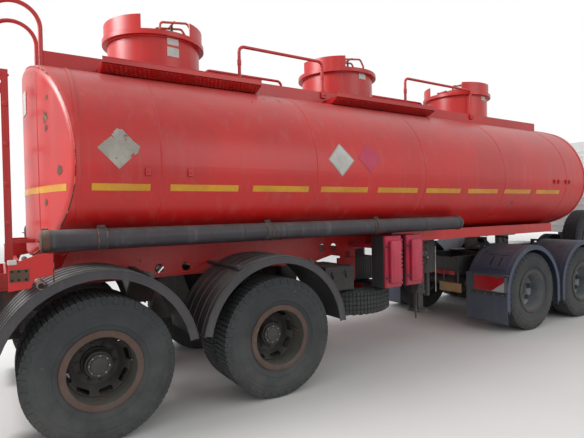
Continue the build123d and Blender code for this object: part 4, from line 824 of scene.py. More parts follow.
def treaded(radius, depth, steps=80):
    """Tyre at the origin, its outer face at Y 0, with ribbed walls, notched shoulders and tread blocks."""
    half, base = TYRE_WIDTH / 2, radius - depth
    wall = [
        (0.115, 0.2573), (0.115, 0.3), (0.121, 0.318), (0.1325, 0.342), (0.1375, 0.345), (0.1385, 0.354),
        (0.136, 0.359), (0.1425, 0.395), (0.1445, 0.42), (0.1440, radius - 0.108), (0.1415, radius - 0.1),
        (0.1440, radius - 0.094), (0.142, radius - 0.078), (0.137, radius - 0.056), (0.121, base - 0.004),
        (0.118, base), (0.073, base), (0.025, base),
    ]
    profile = [(half - across, out) for across, out in wall]
    profile += [(half + across, out) for across, out in reversed(wall)]
    obj = turned(profile + profile[:1], *AXLE, steps)

    def out_of(face):
        return hypot(face.center.x, face.center.z)

    def sector(face):
        return int((atan2(face.center.z, face.center.x) + pi) / (2 * pi) * steps + 0.25)

    edit(obj, lambda face: out_of(face) > base - 0.0035 and abs(face.normal.y) < 0.4)
    bpy.ops.mesh.inset(use_individual=True, thickness=0.0048, depth=depth * 0.985)

    def shoulder(face):
        lean = abs(face.normal.y)
        return base - 0.05 < out_of(face) < base - 0.006 and 0.3 < lean < 0.98 and sector(face) % 2

    edit(obj, shoulder)
    bpy.ops.mesh.inset(use_individual=True, thickness=0.005, depth=0.0075)
    free()
    return obj


def wheel_place(axle_x, radius, side, outer_y):
    """Matrix that takes a wheel built for the right side, at the origin, to its axle."""
    move = Matrix.Translation((axle_x, side * outer_y, radius))
    return move if side < 0 else move @ Matrix.Scale(-1, 4, LEFT)


class LORRY_OT_tyres(bpy.types.Operator):
    """Model one treaded tyre of each size and fit it to every wheel and spare"""

    bl_idname = "lorry.tyres"
    bl_label = "Fit treaded tyres"

    def execute(self, context):
        depth = context.scene.lorry_details.tread_depth
        trailer, tractor = treaded(TRAILER_RADIUS, depth), treaded(TRACTOR_RADIUS, depth)
        inner = Matrix.Translation((0, TWIN_SPACING, 0))
        for body, axle_x, radius in TWIN_WHEELS:
            model = trailer if radius == TRAILER_RADIUS else tractor
            for side_name, side in SIDES:
                place = wheel_place(axle_x, radius, side, OUTER_Y)
                pair = joined([copied(model, place), copied(model, place @ inner)])
                pair = piece(pair, f"{body}_treads_{side_name}", f"{body}_wheels_{side_name}", "tyre", "tyre")
                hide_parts(f"{body}_tyres_{side_name}")
        for side_name, side in SIDES:
            single = copied(tractor, wheel_place(STEER_X, TRACTOR_RADIUS, side, STEER_OUTER_Y))
            single = piece(single, f"steer_tread_{side_name}", f"steer_wheel_{side_name}", "tyre", "tyre")
            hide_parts(f"steer_tyre_{side_name}")
        low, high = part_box("trailer_spare_tyre")
        middle = (low + high) / 2
        lying = Matrix.Translation((middle.x, middle.y, low.z)) @ Matrix.Rotation(radians(90), 4, "X")
        spare = piece(copied(trailer, lying), "trailer_spare_tread", "trailer", "tyre", "tyre")
        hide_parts("trailer_spare_tyre")
        low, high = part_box("tractor_spare_tyre")
        middle = (low + high) / 2
        standing = Matrix.Translation((middle.x, low.y, middle.z))
        spare = piece(copied(tractor, standing), "tractor_spare_tread", "tractor", "tyre", "tyre")
        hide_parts("tractor_spare_tyre")
        for model in (trailer, tractor):
            bpy.data.objects.remove(model)
        return {"FINISHED"}


def coloured(obj, finishes, choose):
    """Two finishes on one object: choose(face) picks the faces that get the second."""
    obj.data.materials.clear()
    for finish in finishes:
        obj.data.materials.append(FINISHED[finish])
    for face in obj.data.polygons:
        face.material_index = 1 if choose(face) else 0
    return obj


def dished_disc(profile, band, spread, finish, holes=8, thickness=0.011, steps=96):
    """Wheel disc from one sheet: spun, its hand holes cut as rounded openings, then given its thickness."""
    disc = turned(profile, *AXLE, steps)
    share = steps // holes

    def opening(face):
        out = hypot(face.center.x, face.center.z)
        sector = int((atan2(face.center.z, face.center.x) + pi) / (2 * pi) * steps + 0.25) % share
        return band[0] < out < band[1] and sector < share * spread

    edit(disc, opening)
    bpy.ops.mesh.delete(type="FACE")
    bpy.ops.mesh.select_all(action="DESELECT")
    bpy.ops.mesh.select_mode(type="VERT")
    bpy.ops.mesh.select_non_manifold(
        extend=False, use_wire=False, use_multi_face=False, use_non_contiguous=False, use_verts=False
    )
    free()
    rims = (profile[0][1], profile[-1][1])
    for vertex in disc.data.vertices:
        out = hypot(vertex.co.x, vertex.co.z)
        if min(abs(out - rim) for rim in rims) < 0.003:
            vertex.select = False
    pick(disc)
    bpy.ops.object.mode_set(mode="EDIT")
    bpy.ops.mesh.vertices_smooth(factor=0.5, repeat=2)
    free()
    pick(disc)
    solid = disc.modifiers.new("thickness", "SOLIDIFY")
    solid.thickness, solid.offset = thickness, 0
    bpy.ops.object.modifier_apply(modifier=solid.name)
    return dressed(tidy_normals(disc), finish)


def wheel_nuts(along_y, out, count, radius, finish):
    """Ring of nuts and studs pointing out of the wheel."""
    one = nut((out, along_y, 0), RIGHT, radius)
    return dressed(around(one, (0, 0, 0), LEFT, count, 0.1), finish)


# Outer lip of a rim's barrel, as (along the axle, away from it)
RIM_LIP = ((0.018, 0.249), (0.0155, 0.262), (0.016, 0.288), (0.02, 0.2965), (0.0297, 0.298), (0.0297, 0.257))


def twin_rim(barrel_finish, disc_finish, lip_finish, hub_finish, band, spread, nut_size):
    """Rim of a twin wheel at the origin: barrels, deep disc with hand holes, hub, drum and nuts."""
    barrel = turned(
        [*RIM_LIP, (0.595, 0.257), (0.595, 0.245), (0.2, 0.243), (0.06, 0.247), RIM_LIP[0]],
        *AXLE, 64,
    )
    coloured(barrel, (barrel_finish, lip_finish), lambda face: face.center.y < 0.031)
    disc = dished_disc(
        [(0.19, 0.2435), (0.196, 0.236), (0.214, 0.222), (0.236, 0.209), (0.26, 0.196), (0.284, 0.181),
         (0.297, 0.166), (0.3, 0.15), (0.3, 0.108)],
        band, spread, disc_finish,
    )
    hub = turned(
        [(0.157, 0), (0.157, 0.05), (0.16, 0.062), (0.168, 0.066), (0.168, 0.083), (0.174, 0.088), (0.19, 0.09),
         (0.19, 0.1), (0.204, 0.104), (0.262, 0.106), (0.27, 0.118), (0.297, 0.12), (0.297, 0)],
        *AXLE, 48,
    )
    dressed(hub, hub_finish)
    drum = turned(
        [(0.33, 0.1), (0.33, 0.19), (0.345, 0.203), (0.58, 0.205), (0.58, 0), (0.56, 0), (0.56, 0.1),
         (0.33, 0.1)],
        *AXLE, 48,
    )
    dressed(drum, "hub_dark")
    cap = wheel_nuts(0.169, 0.0745, 8, nut_size * 0.45, "bright_steel")
    ring = wheel_nuts(0.295, 0.14, 10, nut_size, hub_finish)
    valve = dressed(rod((0.232, 0.22, 0.02), (0.226, 0.1, 0.02), 0.0045, 8, 0.001), "bright_steel")
    return joined([barrel, disc, hub, drum, cap, ring, valve])


class LORRY_OT_rims(bpy.types.Operator):
    """Model the rims with hand holes, hubs and nuts and fit them to every wheel"""

    bl_idname = "lorry.rims"
    bl_label = "Fit the rims"

    def execute(self, context):
        size = context.scene.lorry_details.wheel_nut
        trailer = twin_rim("rim_green_grey", "hub_dark", "rim_rust", "hub_dark", (0.21, 0.232), 0.55, size)
        tractor = twin_rim("rim_grey", "rim_grey", "hub_dark", "hub_dark", (0.205, 0.232), 0.4, size)
        for body, axle_x, radius in TWIN_WHEELS:
            on_trailer = radius == TRAILER_RADIUS
            model, slot = (trailer, "rim_green_grey") if on_trailer else (tractor, "rim_grey")
            for side_name, side in SIDES:
                rim = copied(model, wheel_place(axle_x, radius, side, OUTER_Y))
                rim = piece(rim, f"{body}_dishes_{side_name}", f"{body}_wheels_{side_name}", slot)
                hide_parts(f"{body}_rims_{side_name}")
        barrel = turned(
            [*RIM_LIP, (0.26, 0.257), (0.26, 0.245), RIM_LIP[0]], *AXLE, 64
        )
        dressed(barrel, "rim_grey")
        disc = dished_disc(
            [(0.085, 0.2465), (0.08, 0.238), (0.07, 0.226), (0.062, 0.214), (0.055, 0.202), (0.05, 0.188),
             (0.048, 0.17), (0.048, 0.108)],
            (0.194, 0.232), 0.42, "rim_grey",
        )
        hub = turned(
            [(-0.014, 0), (-0.014, 0.055), (-0.01, 0.068), (0.004, 0.074), (0.012, 0.09),
             (0.02, 0.104), (0.04, 0.108), (0.044, 0.12), (0.06, 0.12), (0.06, 0)],
            *AXLE, 48,
        )
        dressed(hub, "rim_grey")
        drum = turned(
            [(0.1, 0), (0.1, 0.19), (0.112, 0.203), (0.194, 0.205), (0.194, 0), (0.1, 0)],
            *AXLE, 48,
        )
        dressed(drum, "hub_dark")
        nuts = wheel_nuts(0.043, 0.14, 10, size, "bright_steel")
        model = joined([barrel, disc, hub, drum, nuts])
        for side_name, side in SIDES:
            rim = copied(model, wheel_place(STEER_X, TRACTOR_RADIUS, side, STEER_OUTER_Y))
            rim = piece(rim, f"steer_dish_{side_name}", f"steer_wheel_{side_name}", "rim_grey")
            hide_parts(f"steer_rim_{side_name}")
        for spent in (trailer, tractor, model):
            bpy.data.objects.remove(spent)
        return {"FINISHED"}


# Dashes of tape along each side, from rear to front
TAPE_RUNS = [(-5.442, -5.017)] + [(-4.859 + 0.738 * n, -4.263 + 0.738 * n) for n in range(8)]
# Diamonds on the right side: name, finishes of face and border, middle X and Z, half width, half height
DIAMONDS = (
    ("white", "plate_white", "torn_backing", -3.137, 2.193, 0.164, 0.166),
    ("magenta", "sign_magenta", "box_crimson", -2.762, 2.226, 0.16, 0.153),
)

# Scraps left of a torn diamond, each by its corners (X, Z)
TORN = (
    ((-5.402, 2.187), (-5.25, 2.033), (-5.158, 2.124), (-5.298, 2.28)),
    ((-5.297, 2.294), (-5.19, 2.11), (-5.1, 2.205), (-5.218, 2.34)),
    ((-5.282, 2.312), (-5.24, 2.29), (-5.2, 2.318), (-5.252, 2.344)),
    ((-5.14, 2.14), (-5.112, 2.158), (-5.092, 2.212), (-5.135, 2.245)),
    ((-5.372, 2.168), (-5.32, 2.13), (-5.29, 2.2), (-5.352, 2.244)),
)
# Rust spots on the rear end (Y, Z, half size), and clips along the side (X, Z)
SPOTS = ((-0.818, 2.455, 0.034), (-0.835, 2.37, 0.02), (-1.042, 2.031, 0.03), (-0.8, 1.8, 0.022),
         (-0.86, 2.6, 0.016), (0.42, 1.7, 0.026))
CLIPS = ((-5.06, 2.02), (-4.72, 2.02), (0.72, 2.05), (0.83, 2.05), (1.03, 2.05), (1.12, 2.05))


class LORRY_OT_tank_marks(bpy.types.Operator):
    """Lay tape, blank signs and weld seams on the barrel"""

    bl_idname = "lorry.tank_marks"
    bl_label = "Mark the barrel"

    def execute(self, context):
        sizes = context.scene.lorry_details
        low, high = sizes.tape_level - sizes.tape_height / 2, sizes.tape_level + sizes.tape_height / 2
        dashes = []
        for side in (-1, 1):
            for start, end in TAPE_RUNS:
                dashes.append(side_patch(side, oblong(start, end, low, high), 0.0016, 0.0012, 3, 3))

        def rear(u, v):
            y = -1.131 + 2.262 * u
            return rear_skin_x(y, 0.0018), y, low + (high - low) * v

        dashes.append(wrapped(36, 2, rear, 0.0012))
        piece(dashes, "tape_dashes", "trailer", "tank_red", "tape_yellow")

        for name, finish, border, x, z, half_x, half_z in DIAMONDS:
            corners = ((x - half_x, z), (x, z - half_z), (x + half_x, z), (x, z + half_z))
            sign = side_patch(-1, corners, 0.0018, 0.0014, 10, 10)
            inner = [(x + (a - x) * 0.9, z + (b - z) * 0.9) for a, b in corners]
            face = dressed(side_patch(-1, inner, 0.0028, 0.0006, 10, 10), finish)
            piece(joined([dressed(sign, border), face]), f"sign_{name}_blank", "trailer", "tank_red")
        scraps = [dressed(side_patch(-1, corners, 0.0016 + 0.0003 * number, 0.0008, 8, 8), "torn_backing")
                  for number, corners in enumerate(TORN)]
        piece(scraps, "sign_remnant", "trailer", "tank_red")

        def plate(u, v):
            y = -0.29 + 0.2 * u
            return rear_skin_x(y, 0.003), y, 2.57 + 0.2 * v

        piece(wrapped(6, 3, plate, 0.003), "rear_mark_blank", "trailer", "tank_red", "plate_white")

        seams = []
        for number in range(5):
            x = -4.93 + 1.5 * number

            def ring(u, v, x=x):
                y, z = skin(2 * pi * v, 0.0005 + sizes.seam_rise * (1 - abs(2 * u - 1)))
                return x + (u - 0.5) * sizes.seam_width, y, z

            seams.append(wrapped(2, 128, ring, 0.001))

        def upright(u, v):
            y = -0.655 + 0.02 * v + sizes.seam_width * (u - 0.5)
            return rear_skin_x(y, 0.0005 + sizes.seam_rise * (1 - abs(2 * u - 1))), y, 1.42 + 1.42 * v

        seams.append(wrapped(2, 24, upright, 0.001))
        piece(seams, "weld_seams", "trailer", "tank_red", "tank_red")

        # Pale bead round the rim of the rear end: worn paint and a painted highlight along the edge.
        edge = []
        for number in range(120):
            y, z = skin(2 * pi * number / 120, 0.0)
            inset = 0.0205 - 0.008 * abs(y) / TANK_HALF
            y, z = skin(2 * pi * number / 120, -inset)
            edge.append((rear_skin_x(y) + inset, y, z))
        piece(pipe(edge, 0.0045, 8, True), "rear_edge_bead", "trailer", "tank_red", "worn_edge")

        rust = []
        for y, z, half in SPOTS:
            for turn in (0.3, 1.1):
                def spot(u, v, y=y, z=z, half=half, turn=turn):
                    out = half * min(1.0, 1.25 - 0.5 * abs(sin(3 * turn + 5 * u)))
                    across, up = (2 * u - 1) * out, (2 * v - 1) * out * 1.2
                    across, up = across * cos(turn) - up * sin(turn), across * sin(turn) + up * cos(turn)
                    return rear_skin_x(y + across, 0.0012 + 0.0004 * turn), y + across, z + up
                rust.append(wrapped(5, 5, spot, 0.0006))
        piece(rust, "rear_rust_spots", "trailer", "tank_red", "rusty_plate")

        pads = []
        for x, z in CLIPS:
            y = skin_y(z)
            pads.append(bar((x, -y - 0.018, z - 0.03), (x + 0.045, -y + 0.004, z + 0.03), 0.004))
            pads.append(rod((x + 0.022, -y - 0.018, z), (x + 0.022, -y - 0.026, z), 0.01, 6, 0.002))
        piece(pads, "side_clips", "trailer", "tank_red", "tank_red")
        return {"FINISHED"}


class LORRY_OT_hatches(bpy.types.Operator):
    """Bolt, plate and equip the three necks and their lids"""

    bl_idname = "lorry.hatches"
    bl_label = "Equip the hatches"

    def execute(self, context):
        fixed = Forms()
        for x in NECK_XS:
            bolt = nut((x + 0.415, 0, NECK_TOP), UP, 0.013)
            fixed.add("tank_red", around, bolt, (x, 0, 0), UP, 20, 0.16)
            fixed.add("tank_red", hoop, (x, 0, NECK_TOP + 0.002), UP, 0.37, 0.006, 64, 6)
            fixed.add("tank_red", hoop, (x, 0, NECK_TOP - 0.047), UP, NECK_RADIUS + 0.006, 0.007, 64, 6)
            fixed.add("seal_rubber", hoop, (x, 0, NECK_TOP + 0.045), UP, 0.257, 0.0045, 48, 6)
            fixed.add(
                "tank_red", turned,
                [(0, 0), (0, 0.05), (0.05, 0.05), (0.06, 0.062), (0.1, 0.062), (0.118, 0.045), (0.122, 0)],
                (x + 0.2, 0.32, NECK_TOP), UP, AHEAD, 24,
            )
        piece(fixed, "neck_fittings", "trailer", "tank_red")

        plates = []
        for x, turn, low, high, width in (
            (NECK_XS[0], -83.5, 3.315, 3.378, 0.115), (NECK_XS[0], -83.5, 3.205, 3.292, 0.12),
            (NECK_XS[1], -84.5, 3.312, 3.376, 0.115), (NECK_XS[2], -83.5, 3.318, 3.376, 0.11),
        ):
            def tag(u, v, x=x, turn=turn, low=low, high=high, width=width):
                angle, out = radians(turn) + (u - 0.5) * width / NECK_RADIUS, NECK_RADIUS + 0.003
                return x + out * cos(angle), out * sin(angle), low + (high - low) * v

            plates.append(wrapped(4, 2, tag, 0.003))
        piece(plates, "neck_plates_blank", "trailer", "tank_red", "plate_white")

        for number, x in enumerate(NECK_XS):
            top = NECK_TOP + 0.0455 + 0.028
            parts = Forms()
            parts.add("lid_orange", hoop, (x, 0, top - 0.004), UP, 0.281, 0.007, 56, 8)
            parts.add(
                "lid_orange" if number else "case_grey", turned,
                [(0.034, 0.172), (0.042, 0.16), (0.058, 0.12), (0.066, 0.07), (0.069, 0)],
                (x, 0, top), UP, AHEAD, 40,
            )
            screw = nut((x + 0.23, 0, top), UP, 0.02, 1.2)
            parts.add("black_steel", around, screw, (x, 0, 0), UP, 6, 0.5)
            for side in (-1, 1):
                parts.add("lid_orange", bar, (x + 0.02, side * 0.075, top),
                          (x + 0.06, side * 0.105, top + 0.03), 0.004)
            parts.add("lid_orange", rod, (x + 0.19, -0.1, top + 0.19), (x + 0.19, 0.1, top + 0.19), 0.01, 10,
                      0.002)
            parts.add(
                "black_steel", rod, (x + 0.19, 0, top + 0.19), (x + 0.19, 0, top + 0.03), 0.014, 10, 0.003
            )
            piece(parts, f"lid_{number + 1}_fittings", f"hatch_{number + 1}", "lid_orange")
        return {"FINISHED"}


def apron(start, end, side):
    """Sloping plate under a side plate, with rows of light dots and two end webs."""
    outer, inner = Vector((0, side * 0.716, 2.967)), Vector((0, side * 0.6, 2.918))
    along_slope = (inner - outer) / 5
    out = Vector((0, side * 0.39, -0.92)) * 0.0016
    sheet = [Vector((start, *p.yz)) for p in (outer, inner)] + [Vector((end, *p.yz)) for p in (inner, outer)]
    parts = Forms()
    parts.add("tank_red", slab, sheet, -out * 1.5, 0.0005)
    place = Vector((start + 0.03, *(outer + along_slope * 0.5).yz))
    dot = dressed(rod(place - out * 0.4, place + out, 0.0065, 7, end_radius=0.005), "worn_edge")
    count = int((end - start - 0.06) / 0.04) + 1
    parts.append(arrayed(dot, (count, (0.04, 0, 0)), (5, (0.008, along_slope.y, along_slope.z))))
    for x in (start + 0.002, end - 0.007):
        web = [(x, side * y, z) for y, z in ((0.48, 2.966), (0.716, 2.966), (0.6, 2.916), (0.5, 2.936))]
        parts.add("tank_red", slab, web, (0.005, 0, 0), 0.001)
    return parts


def studded_plates(side, pitch):
    """Studs on the plates along one side, and the aprons that hang from them."""
    fields = []
    for start, end in PLATE_RUNS:
        x, y = start + 0.05, side * (CURB_Y + 0.045)
        rim = dressed(rod((x, y, PLATE_TOP - 0.001), (x, y, PLATE_TOP + 0.004), 0.014, 8, end_radius=0.01),
                      "tank_red")
        # A dark disc in each stud stands for the painted shade of its hole.
        hole_shade = dressed(rod((x, y, PLATE_TOP), (x, y, PLATE_TOP + 0.0045), 0.007, 6), "hole_dark")
        count = int((end - start - 0.1) / pitch) + 1
        fields.append(arrayed(joined([rim, hole_shade]), (count, (pitch, 0, 0)), (4, (0, side * pitch, 0))))
        fields += apron(start, end, side)
    return joined(fields)


def rail_clamps(side):
    """Feet, sockets, rings and nuts of the handrails along one side."""
    parts = []
    y = side * RAIL_Y
    for run in RAIL_RUNS:
        for x in run:
            parts.append(bar((x - 0.034, y - 0.026, 3.0), (x + 0.034, y + 0.026, CURB_TOP + 0.006), 0.006))
            parts.append(rod((x, y, 3.225), (x, y, 3.285), 0.0215, 16, 0.003))
            parts.append(hoop((x, y, CURB_TOP + 0.008), UP, 0.019, 0.005, 16, 6))
            for step in (-0.02, 0.02):
                parts.append(nut((x + step, side * (CURB_Y + 0.026), 3.035), (0, side, 0), 0.009))
    for start, end in PLATE_RUNS:
        edge_y = side * 0.719
        parts.append(pipe([(start, edge_y, 3.021), (end, edge_y, 3.021)], 0.0055, 8))
        bolt = nut((start + 0.12, side * (CURB_Y + 0.001), 3.03), (0, side, 0), 0.009)
        parts.append(arrayed(bolt, (6, ((end - start - 0.24) / 5, 0, 0))))
    return joined(parts)


class LORRY_OT_walkway(bpy.types.Operator):
    """Stud the side plates, clamp the handrails and trim the ladder"""

    bl_idname = "lorry.walkway"
    bl_label = "Finish the walkway"

    def execute(self, context):
        pitch = context.scene.lorry_details.grip_pitch
        piece(both_sides(studded_plates, pitch), "walkway_studs", "trailer", "tank_red")
        piece(both_sides(rail_clamps), "handrail_clamps", "trailer", "tank_red", "tank_red")

        trim = []
        for y in LADDER_YS:
            for level in range(5):
                z = 1.32 + 0.32 * level
                for side in (-1, 1):
                    trim.append(
                        rod((LADDER_X, y + side * 0.006, z), (LADDER_X, y + side * 0.016, z), 0.019, 14, 0.002)
                    )
            for x, z in ((-5.93, 1.49), (-5.98, 2.835), (-5.93, 2.835), (-6.03, 2.835)):
                for side in (-1, 1):
                    trim.append(nut((x, y + side * 0.006, z), (0, side, 0), 0.009))
        piece(trim, "ladder_trim", "trailer", "tank_red", "tank_red")
        return {"FINISHED"}


def case_caps(side):
    """Caps, handles, hangers, bands and seams of the hose case on one side."""
    y = side * CASE_Y
    parts = Forms()
    for x, way in ((CASE_REAR, 1), (CASE_FRONT, -1)):
        parts.add(
            "rusty_plate" if way > 0 else "case_grey", turned,
            [(-0.014, 0), (-0.014, 0.04), (-0.01, 0.06), (-0.002, 0.074), (0.012, 0.0815),
             (0.03, 0.083), (0.05, 0.081), (0.05, 0.07)],
            (x, y, CASE_Z), (way, 0, 0), UP, 40,
        )
        grip = rounded([(x, y - 0.03, CASE_Z), (x - way * 0.03, y - 0.03, CASE_Z),
                        (x - way * 0.03, y + 0.03, CASE_Z), (x, y + 0.03, CASE_Z)], 0.012, 4)
        parts.add("black_steel", pipe, grip, 0.005)
        parts.add("black_steel", bar, (x + way * 0.004, y - 0.012, CASE_Z + 0.072),
                  (x + way * 0.045, y + 0.012, CASE_Z + 0.09), 0.004)
    for x in STRAP_XS:
        parts.add(
            "case_grey", bar, (x - 0.03, y - 0.011, CASE_Z + 0.076), (x + 0.03, y + 0.011, CASE_Z + 0.102)
        )
        for way in (-1, 1):
            parts.add("rusty_plate", nut, (x, y + way * 0.011, CASE_Z + 0.092), (0, way, 0), 0.007)
            parts.add("rusty_plate", hoop, (x + way * 0.031, y, CASE_Z), AHEAD, 0.081, 0.004, 40, 6)
    for x in CASE_SEAMS:
        parts.add("case_grey", hoop, (x, y, CASE_Z), AHEAD, CASE_RADIUS, 0.003, 40, 6)
    return joined(parts)


class LORRY_OT_hose_cases(bpy.types.Operator):
    """Cap the hose cases, and clamp and band them where they hang"""

    bl_idname = "lorry.hose_cases"
    bl_label = "Cap the hose cases"

    def execute(self, context):
        piece(both_sides(case_caps), "hose_case_caps", "trailer", "case_grey")
        return {"FINISHED"}


def four_bars(low, high, width):
    """Corners of the four bars that frame an opening, which is given by two corners (Y, Z)."""
    (y0, z0), (y1, z1) = low, high
    return (
        ((y0, z0), (y1, z0 + width)), ((y0, z1 - width), (y1, z1)),
        ((y0, z0), (y0 + width, z1)), ((y1 - width, z0), (y1, z1)),
    )


def lamp_unit(low, high, facing, lenses, frame=0.012):
    """Lamp between two corners: black rim, bright back, and panes given as (finish, start, end)."""
    x, y0, z0 = low
    depth, y1, z1 = high
    parts = Forms()
    for a, b in four_bars((y0, z0), (y1, z1), frame):
        parts.add("black_plastic", bar, (x, a[0], a[1]), (x + facing * (depth + 0.006), b[0], b[1]))
    parts.add("bright_steel", bar, (x, y0 + 0.003, z0 + 0.003), (x + facing * 0.004, y1 - 0.003, z1 - 0.003), 0)
    inner = y1 - y0 - 2 * frame
    for finish, start, end in lenses:
        parts.add(
            finish, bar,
            (x + facing * depth * 0.6, y0 + frame + inner * start + 0.001, z0 + frame),
            (x + facing * depth, y0 + frame + inner * end - 0.001, z1 - frame), 0.002,
        )
    return joined(parts)


def trailer_tail(side, beam_x, bumper_x):
    """Gusset, stay, lamp and reflector on one side of the trailer's tail."""
    y = side * 1.205
    gusset = [(x, y, z) for x, z in GUSSET]
    parts = Forms()
    parts.add("tank_red", slab, gusset, (0, side * 0.008, 0), 0.002)
    parts.add("tank_red", bar, (-5.94, side * 0.5, 1.2), (-5.86, side * 1.205, 1.26), 0.006)
    parts.add("rusty_plate", bar, (-5.971, side * 1.212, 1.25), (-5.854, side * 1.219, 1.335))
    parts.add("plate_white", bar, (-5.98, side * 1.19, 1.368), (-5.925, side * 1.224, 1.4), 0.005)
    # Pale rod on the gusset's front edge: worn paint and a painted highlight along the edge.
    parts.add("worn_edge", rod, (-5.7035, side * 1.2, 1.215), (-5.7035, side * 1.2, 1.44), 0.0045, 8)
    stay_x, stay_z = TRAILER_REAR_X - 0.3865, TRAILER_RADIUS + 0.6694
    parts.add(
        "worn_stay", rod, (stay_x, side * 0.95, stay_z), (stay_x, side * 1.252, stay_z), 0.0275, 22, 0.004
    )
    for reach in (1.08, 1.18):
        parts.add("black_steel", rod, (stay_x, side * reach, stay_z), (stay_x, side * (reach + 0.018), stay_z),
                  0.03, 22, 0.002)
    # Dark disc on the stay's end: painted shade of the open tube.
    parts.add("hole_dark", rod, (stay_x, side * 1.25, stay_z), (stay_x, side * 1.254, stay_z), 0.02, 18)
    # Dark discs on the plate: painted shade of its holes.
    for x in (-5.955, -5.915, -5.872):
        for z in (1.264, 1.322):
            parts.add("hole_dark", rod, (x, side * 1.218, z), (x, side * 1.2205, z), 0.0085, 10)
    for z in (1.075, 1.185):
        bolt = nut((beam_x, side * 0.1, z), BACK, 0.011)
        parts.add("tank_red", arrayed, bolt, (3, (0, side * 0.28, 0)))
    low, high = sorted((side * 0.78, side * 1.19))
    lenses = [("lens_red", 0, 0.4), ("lens_amber", 0.4, 0.72), ("lens_clear", 0.72, 1)]
    if side < 0:
        lenses = [(finish, 1 - end, 1 - start) for finish, start, end in lenses]
    parts.append(lamp_unit((beam_x, low, 1.075), (0.035, high, 1.19), -1, lenses))
    parts.add("lens_red", turned, [(0, 0.038), (0.008, 0.038), (0.012, 0.033), (0.012, 0)],
              (bumper_x, side * 1.1, 0.54), BACK, UP, 24)
    for y in (0.32, 0.72):
        parts.add("tank_red", nut, (bumper_x, side * y, 0.54), BACK, 0.013)
    return joined(parts)


class LORRY_OT_trailer_rear(bpy.types.Operator):
    """Carry the lamps, brackets and reflectors of the trailer's tail"""

    bl_idname = "lorry.trailer_rear"
    bl_label = "Equip the trailer's tail"

    def execute(self, context):
        beam_x, bumper_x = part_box("trailer_frame")[0].x + 0.05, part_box("trailer_frame")[0].x
        piece(both_sides(trailer_tail, beam_x, bumper_x), "trailer_tail_fittings", "trailer", "tank_red")
        return {"FINISHED"}


def trailer_arch(side, rib):
    """Ribs, edge beads and stay clamps of the trailer's fenders on one side."""
    parts = []
    for axle_x, start, end in ((TRAILER_REAR_X, 10, 185), (TRAILER_FRONT_X, 5, 170)):
        for y in (0.66, 0.79, 0.92, 1.05, 1.18):
            parts.append(
                pipe(arc(axle_x, TRAILER_RADIUS, TRAILER_ARCH + 0.003, start + 1, end - 1, side * y), rib)
            )
        parts.append(pipe(arc(axle_x, TRAILER_RADIUS, TRAILER_ARCH + 0.001, start, end, side * 1.247), 0.007))
        parts.append(pipe(arc(axle_x, TRAILER_RADIUS, TRAILER_ARCH - 0.06, start, end, side * 1.246), 0.006))
        for angle in (start, end):
            x, z = on_circle(axle_x, TRAILER_RADIUS, TRAILER_ARCH, angle)
            parts.append(pipe([(x, side * 0.6, z), (x, side * 1.248, z)], 0.009))
        for angle in (60, 120):
            x, z = on_circle(axle_x, TRAILER_RADIUS, TRAILER_ARCH + 0.019, angle)
            for y in (0.64, 1.14):
                parts.append(rod((x, side * y, z), (x, side * (y + 0.05), z), 0.026, 18, 0.003))
                parts.append(nut((x, side * (y + 0.025), z + 0.024), UP, 0.009))
    return joined(parts)


def trailer_flap(side):
    """Ribs, holder and bolts of the trailer's rubber flap on one side."""
    x = FLAP_X - 0.008
    ribs = arrayed(bar((x - 0.003, side * 0.63, 0.215), (x, side * 0.645, 0.5), 0.0014),
                   (9, (0, side * 0.0725, 0)))
    holder = bar((x - 0.01, side * 0.605, 0.52), (x, side * 1.245, 0.56), 0.003)
    bolts = arrayed(nut((x - 0.01, side * 0.68, 0.54), BACK, 0.01), (5, (0, side * 0.12, 0)))
    return joined([
        dressed(ribs, "seal_rubber"), dressed(holder, "black_steel"), dressed(bolts, "bright_steel")
    ])


def tractor_arch(side):
    """Edge beads, bands and bolts of the tractor's fenders on one side."""
    parts = []
    for axle_x in (DRIVE_REAR_X, DRIVE_FRONT_X):
        for radius, tube in ((TRACTOR_ARCH - 0.055, 0.008), (TRACTOR_ARCH - 0.003, 0.006)):
            path = [(axle_x + radius, side * TRACTOR_FENDER_Y, 0.335)]
            path += arc(axle_x, TRACTOR_RADIUS, radius, 0, 180, side * TRACTOR_FENDER_Y)
            path.append((axle_x - radius, side * TRACTOR_FENDER_Y, 0.335))
            parts.append(pipe(path, tube))
        for y in (0.7, 1.2):
            parts.append(pipe(arc(axle_x, TRACTOR_RADIUS, TRACTOR_ARCH, 12, 168, side * y), 0.005))
        for angle in (58, 122):
            x, z = on_circle(axle_x, TRACTOR_RADIUS, TRACTOR_ARCH + 0.002, angle)
            for y in (0.76, 1.1):
                parts.append(nut((x, side * y, z), (cos(radians(angle)), 0, sin(radians(angle))), 0.012))
    return joined(parts)


def fender_recess(side):
    """Framed recess on the back of the tractor's rear fender, with two slot openings painted as dark shade."""
    def edge(start, end, low, high, grow, depth):
        def place(u, v):
            turn = radians(180 - (low + (high - low) * v))
            radius = TRACTOR_ARCH + grow
            y = side * (start + (end - start) * u)
            return DRIVE_REAR_X + radius * cos(turn), y, TRACTOR_RADIUS + radius * sin(turn)
        return wrapped(4, 8, place, depth)

    parts = [
        edge(0.834, 0.852, 32, 54, 0.004, 0.014), edge(1.145, 1.163, 32, 54, 0.004, 0.014),
        edge(0.834, 1.163, 31, 33, 0.004, 0.014), edge(0.834, 1.163, 53, 55, 0.004, 0.014),
    ]
    frame = dressed(joined(parts), "fender_blue_black")
    slot_shades = [dressed(edge(y, y + 0.022, 36, 50, 0.001, 0.002), "hole_dark") for y in (0.92, 1.05)]
    return joined([frame, *slot_shades])


